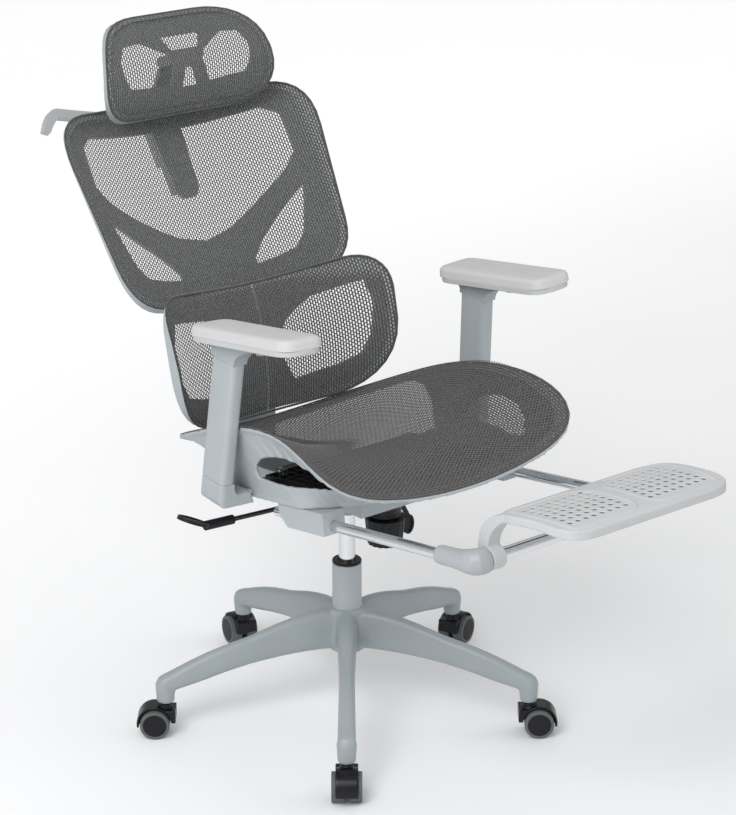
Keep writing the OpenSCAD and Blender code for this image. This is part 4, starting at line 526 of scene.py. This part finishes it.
# The base: sizes of one leg, of the round socket under its tip and of the hub, and the first leg's turn in
# degrees. The leg's top and lower lines, its half widths and its stations are given at shares of its reach.
REACH, SOCKET_Z, ROOT_Z, FIRST_LEG = 0.322, 0.060, 0.119, 141
TIP_H, TIP_R, TIP_TOP_R = 0.034, 0.0150, 0.0168
HUB_LOW, HUB_TOP, HUB_R, HUB_TOP_R = 0.114, 0.193, 0.0300, 0.0296
SECTION_POWER = 3.2
LEG_TOP_SHARES = [
    (0.0, 0.99), (0.09, 0.985), (0.258, 0.94), (0.40, 0.85), (0.531, 0.742), (0.68, 0.655),
    (0.804, 0.562), (0.90, 0.47), (0.96, 0.405), (1.0, 0.370), (1.03, 0.335), (1.045, 0.27),
]
LEG_LOW_SHARES = [
    (0.0, 1.0), (0.258, 1.0), (0.40, 0.94), (0.534, 0.85), (0.68, 0.70),
    (0.807, 0.52), (0.90, 0.42), (0.96, 0.36), (1.0, 0.30), (1.045, 0.25),
]
LEG_WIDTHS = [
    (0, 0.030), (0.12, 0.0185), (0.5, 0.0145), (0.9, 0.0160), (1, 0.0168), (1.03, 0.0152), (1.045, 0.0110),
]
STATION_SHARES = [
    0.06, 0.14, 0.22, 0.30, 0.38, 0.46, 0.54, 0.62, 0.70, 0.78, 0.86, 0.92, 0.96, 1.0, 1.03, 1.045,
]


def along(q, line):
    """The line's value at q, straight between its points."""
    return float(np.interp(q, *zip(*line)))


def leg_point(k, a, b):
    """A point of the leg's squared section, narrower at its top, at station k."""
    q = STATION_SHARES[k]
    top = SOCKET_Z + (HUB_TOP - SOCKET_Z) * along(q, LEG_TOP_SHARES)
    low = SOCKET_Z + (ROOT_Z - SOCKET_Z) * along(q, LEG_LOW_SHARES)
    n = (abs(a) ** SECTION_POWER + abs(b) ** SECTION_POWER) ** (-1 / SECTION_POWER)
    taper = 0.80 + 0.20 * (1 - b) / 2
    return (a * n * along(q, LEG_WIDTHS) * taper, q * REACH, (top + low) / 2 + b * n * (top - low) / 2)


def star_base():
    """Five tapering legs with round tops, each ending in a round socket, melted into one hub."""
    bm = bmesh.new()
    sweep(bm, sides=24, count=len(STATION_SHARES), shape=leg_point)
    tip = bmesh.ops.create_cone(bm, cap_ends=True, segments=40, radius1=TIP_R, radius2=TIP_TOP_R, depth=TIP_H)
    bmesh.ops.translate(bm, verts=tip["verts"], vec=(0, REACH, SOCKET_Z + TIP_H / 2))
    leg = list(bm.verts) + list(bm.edges) + list(bm.faces)
    bmesh.ops.rotate(bm, verts=bm.verts, cent=(0, 0, 0), matrix=Matrix.Rotation(rad(FIRST_LEG), 3, "Z"))
    for k in range(1, 5):
        copied = bmesh.ops.duplicate(bm, geom=leg)["geom"]
        verts = [g for g in copied if isinstance(g, bmesh.types.BMVert)]
        bmesh.ops.rotate(bm, verts=verts, cent=(0, 0, 0), matrix=Matrix.Rotation(rad(72 * k), 3, "Z"))
    hub_h = HUB_TOP - HUB_LOW
    hub = bmesh.ops.create_cone(bm, cap_ends=True, segments=96, radius1=HUB_R, radius2=HUB_TOP_R, depth=hub_h)
    bmesh.ops.translate(bm, verts=hub["verts"], vec=(0, 0, (HUB_TOP + HUB_LOW) / 2))
    # The base wears the grey with painted shade
    o = placed("rounded_base", bm, shaded_base_grey)
    melt(o, voxel=0.0026, rounds=9)
    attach(o, "base")
    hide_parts("star_base")


star_base()

# The footrest's elbows, in the deck's plane: the cross tube's place, and the way from the rod's end, round
# the corner, to the tube's side, as x, y from the tube, turn in degrees and radius
CROSS_Y = -0.543
ELBOW_WAY = [
    (0.190, 0.0800, 0, 0.0130),
    (0.190, 0.0788, 0, 0.0144),
    (0.190, 0.072, 0, 0.0150),
    (0.190, 0.052, 0, 0.0150),
    (0.190, 0.037, 2, 0.0156),
    (0.190, 0.025, 8, 0.0170),
    (0.1895, 0.014, 20, 0.0188),
    (0.1875, 0.006, 42, 0.0202),
    (0.183, 0.001, 66, 0.0206),
    (0.177, -0.001, 86, 0.0205),
    (0.1700, -0.001, 90, 0.0203),
    (0.1684, -0.001, 90, 0.0196),
]
ELBOW_SQUASH_SHARE = 0.92


def elbow_point(k, a, b):
    """A point of the elbow's round section at station k."""
    x, y, turn, r = ELBOW_WAY[k]
    return (x + a * r * math.cos(rad(turn)), y - a * r * math.sin(rad(turn)) * ELBOW_SQUASH_SHARE, b * r)


def elbow(side):
    """Moulded elbow: a flared sleeve off the slide rod runs into the round cap that holds the cross tube."""
    bm = bmesh.new()
    sweep(bm, sides=40, count=len(ELBOW_WAY), shape=elbow_point)
    place = DECK @ Matrix.Translation((0, CROSS_Y, 0)) @ Matrix.Diagonal((SIDES[side], 1, 1, 1))
    bmesh.ops.transform(bm, matrix=place, verts=bm.verts)
    bmesh.ops.recalc_face_normals(bm, faces=bm.faces)
    o = placed(f"moulded_elbow_{side}", bm, elbow_grey)
    melt(o, voxel=0.0012, rounds=6)
    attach(o, "footrest")
    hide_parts(f"elbow_{side}")


for side in SIDES:
    elbow(side)

# The arms: place of the foot on the deck, height of the top, lean and cant in degrees. The pads: half sizes
# and corner in plan, how far ahead their middle lies, and the steps of side and crown as inset and rise.
ARM_X, ARM_Y, ARM_Z, ARM_TOP = 0.275, -0.012, 0.038, 0.261
ARM_LEAN, ARM_CANT = 13.5, 3.4
PAD_HALF_W, PAD_HALF_L, PAD_CORNER, PAD_SHIFT = 0.0405, 0.1305, 0.027, 0.066
PAD_BASE_T, PAD_CROWN = 0.009, 0.0003
PAD_STEPS = [
    (0.0006, 0.0004),
    (0.0003, 0.0012),
    (0.0002, 0.0070),
    (0.0007, 0.0032),
    (0.0013, 0.0022),
    (0.0022, 0.0016),
    (0.0035, 0.0010),
    (0.0055, 0.0005),
    (0.0080, 0.0003),
]


def arm_pad(side):
    """Soft moulded pad: rounded in plan, crowned, with a full round edge down to the parting line."""
    out = SIDES[side]
    bm = bmesh.new()
    w, h = PAD_HALF_W, PAD_HALF_L
    plan = soften([[-w, -h], [w, -h], [w, h], [-w, h]], [PAD_CORNER] * 4, n=14)
    face = bm.faces.new([bm.verts.new((x, y - PAD_SHIFT, 0.0)) for x, y in plan])
    for inset, rise in PAD_STEPS:
        bmesh.ops.inset_region(bm, faces=[face], thickness=inset, use_boundary=True, use_even_offset=True)
        bmesh.ops.translate(bm, verts=face.verts, vec=(0, 0, rise))
    centre = bmesh.ops.poke(bm, faces=[face])["verts"]
    bmesh.ops.translate(bm, verts=centre, vec=(0, 0, PAD_CROWN))
    bmesh.ops.recalc_face_normals(bm, faces=bm.faces)
    bmesh.ops.holes_fill(bm, edges=[e for e in bm.edges if e.is_boundary])
    bmesh.ops.recalc_face_normals(bm, faces=bm.faces)
    place = (
        DECK
        @ Matrix.Translation((out * ARM_X, ARM_Y, ARM_Z))
        @ Matrix.Rotation(rad(-out * ARM_CANT), 4, "Y")
        @ Matrix.Translation((0, -ARM_TOP * math.tan(rad(ARM_LEAN)), ARM_TOP + PAD_BASE_T))
    )
    bmesh.ops.transform(bm, matrix=place, verts=bm.verts)
    o = placed(f"soft_arm_pad_{side}", bm, soft_grey)
    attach(o, f"arm_{side}")
    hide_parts(f"arm_pad_{side}")


for side in SIDES:
    arm_pad(side)

# Finishes of the pieces that keep their own shape
FINISH = {
    "column_tube": grey,
    "column_guide": black,
    "gas_piston": chrome,
    "caster_stems": zinc,
    "mechanism_case": grey,
    "lift_lever": steel_black,
    "lift_lever_grip": black,
    "tension_spring": steel_black,
    "tension_knob": black,
    "lock_lever": black,
    "seat_frame": grey,
    "seat_pan": black,
    "seat_bolts": zinc,
    "footrest_tube": chrome,
    "foot_pad": pad_grey,
    "back_bracket": grey,
    "back_spine": grey,
    "upper_frame": grey,
    "lumbar_frame": grey,
    "headrest_stem": grey,
    "headrest_frame": grey,
    "coat_hanger": pale,
}
# Mouldings with broad radii, whose surfaces are made anew: size of the new faces, and rounds of easing
MELTS = {"foot_pad": (0.0016, 4), "seat_frame": (0.0026, 6)}
for side in SIDES:
    FINISH[f"slide_housing_{side}"] = grey
    FINISH[f"footrest_rod_{side}"] = chrome
    FINISH[f"arm_pad_base_{side}"] = pale
    for k in ("arm_bracket", "arm_sleeve", "arm_post", "arm_button"):
        FINISH[f"{k}_{side}"] = grey
    MELTS[f"arm_bracket_{side}"] = (0.0014, 14)
for k in range(1, 6):
    FINISH[f"caster_hood_{k}"] = hood_black
    FINISH[f"caster_wheels_{k}"] = black
    FINISH[f"caster_tyres_{k}"] = tread
    MELTS[f"caster_hood_{k}"] = (0.0010, 10)
# Width of the rounded edges on the others, and of those that differ
ROUNDING = 0.0012
ROUNDINGS = {"tension_spring": 0, "caster_stems": 0, "seat_pan": 0.0008, "seat_bolts": 0.0006}


def smooth_by_angle(limit):
    """Nodes that join faces along their edges and shade them smooth, but for edges sharper than limit."""
    g = bpy.data.node_groups.new("smooth_by_angle", "GeometryNodeTree")
    g.interface.new_socket("Geometry", in_out="INPUT", socket_type="NodeSocketGeometry")
    g.interface.new_socket("Geometry", in_out="OUTPUT", socket_type="NodeSocketGeometry")
    first, last = g.nodes.new("NodeGroupInput"), g.nodes.new("NodeGroupOutput")
    drop = g.nodes.new("GeometryNodeRemoveAttribute")
    drop.inputs["Name"].default_value = "custom_normal"
    join = g.nodes.new("GeometryNodeMergeByDistance")
    join.inputs["Distance"].default_value = 0.00001
    faces = g.nodes.new("GeometryNodeSetShadeSmooth")
    faces.domain = "FACE"
    faces.inputs["Shade Smooth"].default_value = True
    edges = g.nodes.new("GeometryNodeSetShadeSmooth")
    edges.domain = "EDGE"
    turn = g.nodes.new("GeometryNodeInputMeshEdgeAngle").outputs["Unsigned Angle"]
    g.links.new(math_node(g, "LESS_THAN", turn, rad(limit)), edges.inputs["Shade Smooth"])
    at = first.outputs[0]
    for n in (drop, join, faces, edges):
        g.links.new(at, n.inputs["Geometry"])
        at = n.outputs[0]
    g.links.new(at, last.inputs[0])
    return g


SMOOTH = smooth_by_angle(32)
for name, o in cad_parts.items():
    if name not in FINISH:
        continue
    o.data.materials.clear()
    o.data.materials.append(FINISH[name])
    o.modifiers.new("shade", "NODES").node_group = SMOOTH
    width = ROUNDINGS.get(name, ROUNDING)
    if name in MELTS:
        melt(o, *MELTS[name])
    elif width:
        edge = o.modifiers.new("edge", "BEVEL")
        edge.width = width
        edge.segments = 2
        edge.limit_method = "ANGLE"
        edge.angle_limit = rad(40)
        edge.use_clamp_overlap = True

# Camera, with the photograph's height and focal length in pixels
PHOTO_H, FOCAL, SENSOR = 815, 2677.7, 36
CAMERA_AT, CAMERA_AIM = (-2.6213, -3.2602, 2.0649), (0.0277, -0.0226, 0.5508)
cam = bpy.data.objects.new("camera", bpy.data.cameras.new("camera"))
scene.collection.objects.link(cam)
cam.data.sensor_width = SENSOR
cam.data.lens = FOCAL / PHOTO_H * SENSOR
cam.data.clip_end = 50
cam.location = CAMERA_AT
aim = Vector(CAMERA_AIM) - cam.location
cam.rotation_euler = aim.to_track_quat("-Z", "Y").to_euler()
scene.camera = cam

# The floor brightens from FLOOR_NEAR to FLOOR_FAR, where the camera sees it directly
FLOOR_NEAR, FLOOR_FAR, FLOOR_GLOW = -0.4, 2.6, 0.42
floor_mat, nt, shader, co = new_mat("studio_floor")
tone = ramp(nt, noise(nt, co, 1.5), [(0.3, (0.88, 0.885, 0.895)), (0.7, (0.90, 0.905, 0.915))])
nt.links.new(tone, shader.inputs["Base Color"])
shader.inputs["Roughness"].default_value = 0.6
shader.inputs["Specular IOR Level"].default_value = 0.2
where = nt.nodes.new("ShaderNodeSeparateXYZ")
nt.links.new(co, where.inputs[0])
glow = span(nt, where.outputs[1], 0.0, FLOOR_GLOW, FLOOR_NEAR, FLOOR_FAR)
seen = nt.nodes.new("ShaderNodeLightPath").outputs["Is Camera Ray"]
nt.links.new(math_node(nt, "MULTIPLY", glow, seen), shader.inputs["Emission Strength"])
shader.inputs["Emission Color"].default_value = (1, 1, 1, 1)
bpy.ops.mesh.primitive_plane_add(size=14)
floor = bpy.context.object
floor.name = "studio_floor"
floor.data.materials.append(floor_mat)

# The world is plain white, but reflections meet a studio with darker stands between its white walls
STUDIO_BANDS = [
    (0.0, (0.9, 0.9, 0.9)),
    (0.16, (0.95, 0.95, 0.95)),
    (0.20, (0.10, 0.10, 0.11)),
    (0.27, (0.12, 0.12, 0.13)),
    (0.31, (1.0, 1.0, 1.0)),
    (0.46, (0.9, 0.9, 0.9)),
    (0.50, (0.08, 0.08, 0.09)),
    (0.56, (0.25, 0.25, 0.26)),
    (0.60, (1.0, 1.0, 1.0)),
    (0.78, (0.3, 0.3, 0.31)),
    (0.86, (1.0, 1.0, 1.0)),
]
world = bpy.data.worlds.new("studio")
scene.world = world
world.use_nodes = True
wn = world.node_tree
backdrop = wn.nodes["Background"]
backdrop.inputs[1].default_value = 0.62
around = wn.nodes.new("ShaderNodeTexGradient")
around.gradient_type = "RADIAL"
wn.links.new(wn.nodes.new("ShaderNodeTexCoord").outputs["Generated"], around.inputs[0])
bands = ramp(wn, around.outputs[0], STUDIO_BANDS)
mirrored = wn.nodes.new("ShaderNodeLightPath").outputs["Is Glossy Ray"]
wn.links.new(mix_node(wn, mirrored, (1, 1, 1), bands), backdrop.inputs[0])

# Two soft lamps that face the middle of the chair
LIT_POINT = Vector((0, 0, 0.5))


def softbox(name, at, size, power):
    """A soft lamp of a width and a height, turned to the chair."""
    lamp = bpy.data.lights.new(name, "AREA")
    lamp.shape = "RECTANGLE"
    lamp.size, lamp.size_y = size
    lamp.energy = power
    o = bpy.data.objects.new(name, lamp)
    o.location = at
    o.rotation_euler = (LIT_POINT - Vector(at)).to_track_quat("-Z", "Y").to_euler()
    scene.collection.objects.link(o)


softbox("key", at=(-2.4, -1.3, 2.7), size=(1.8, 1.8), power=75)
softbox("fill", at=(2.8, -1.8, 1.9), size=(2.0, 2.0), power=18)
scene.view_settings.view_transform = "Standard"
scene.view_settings.look = "None"
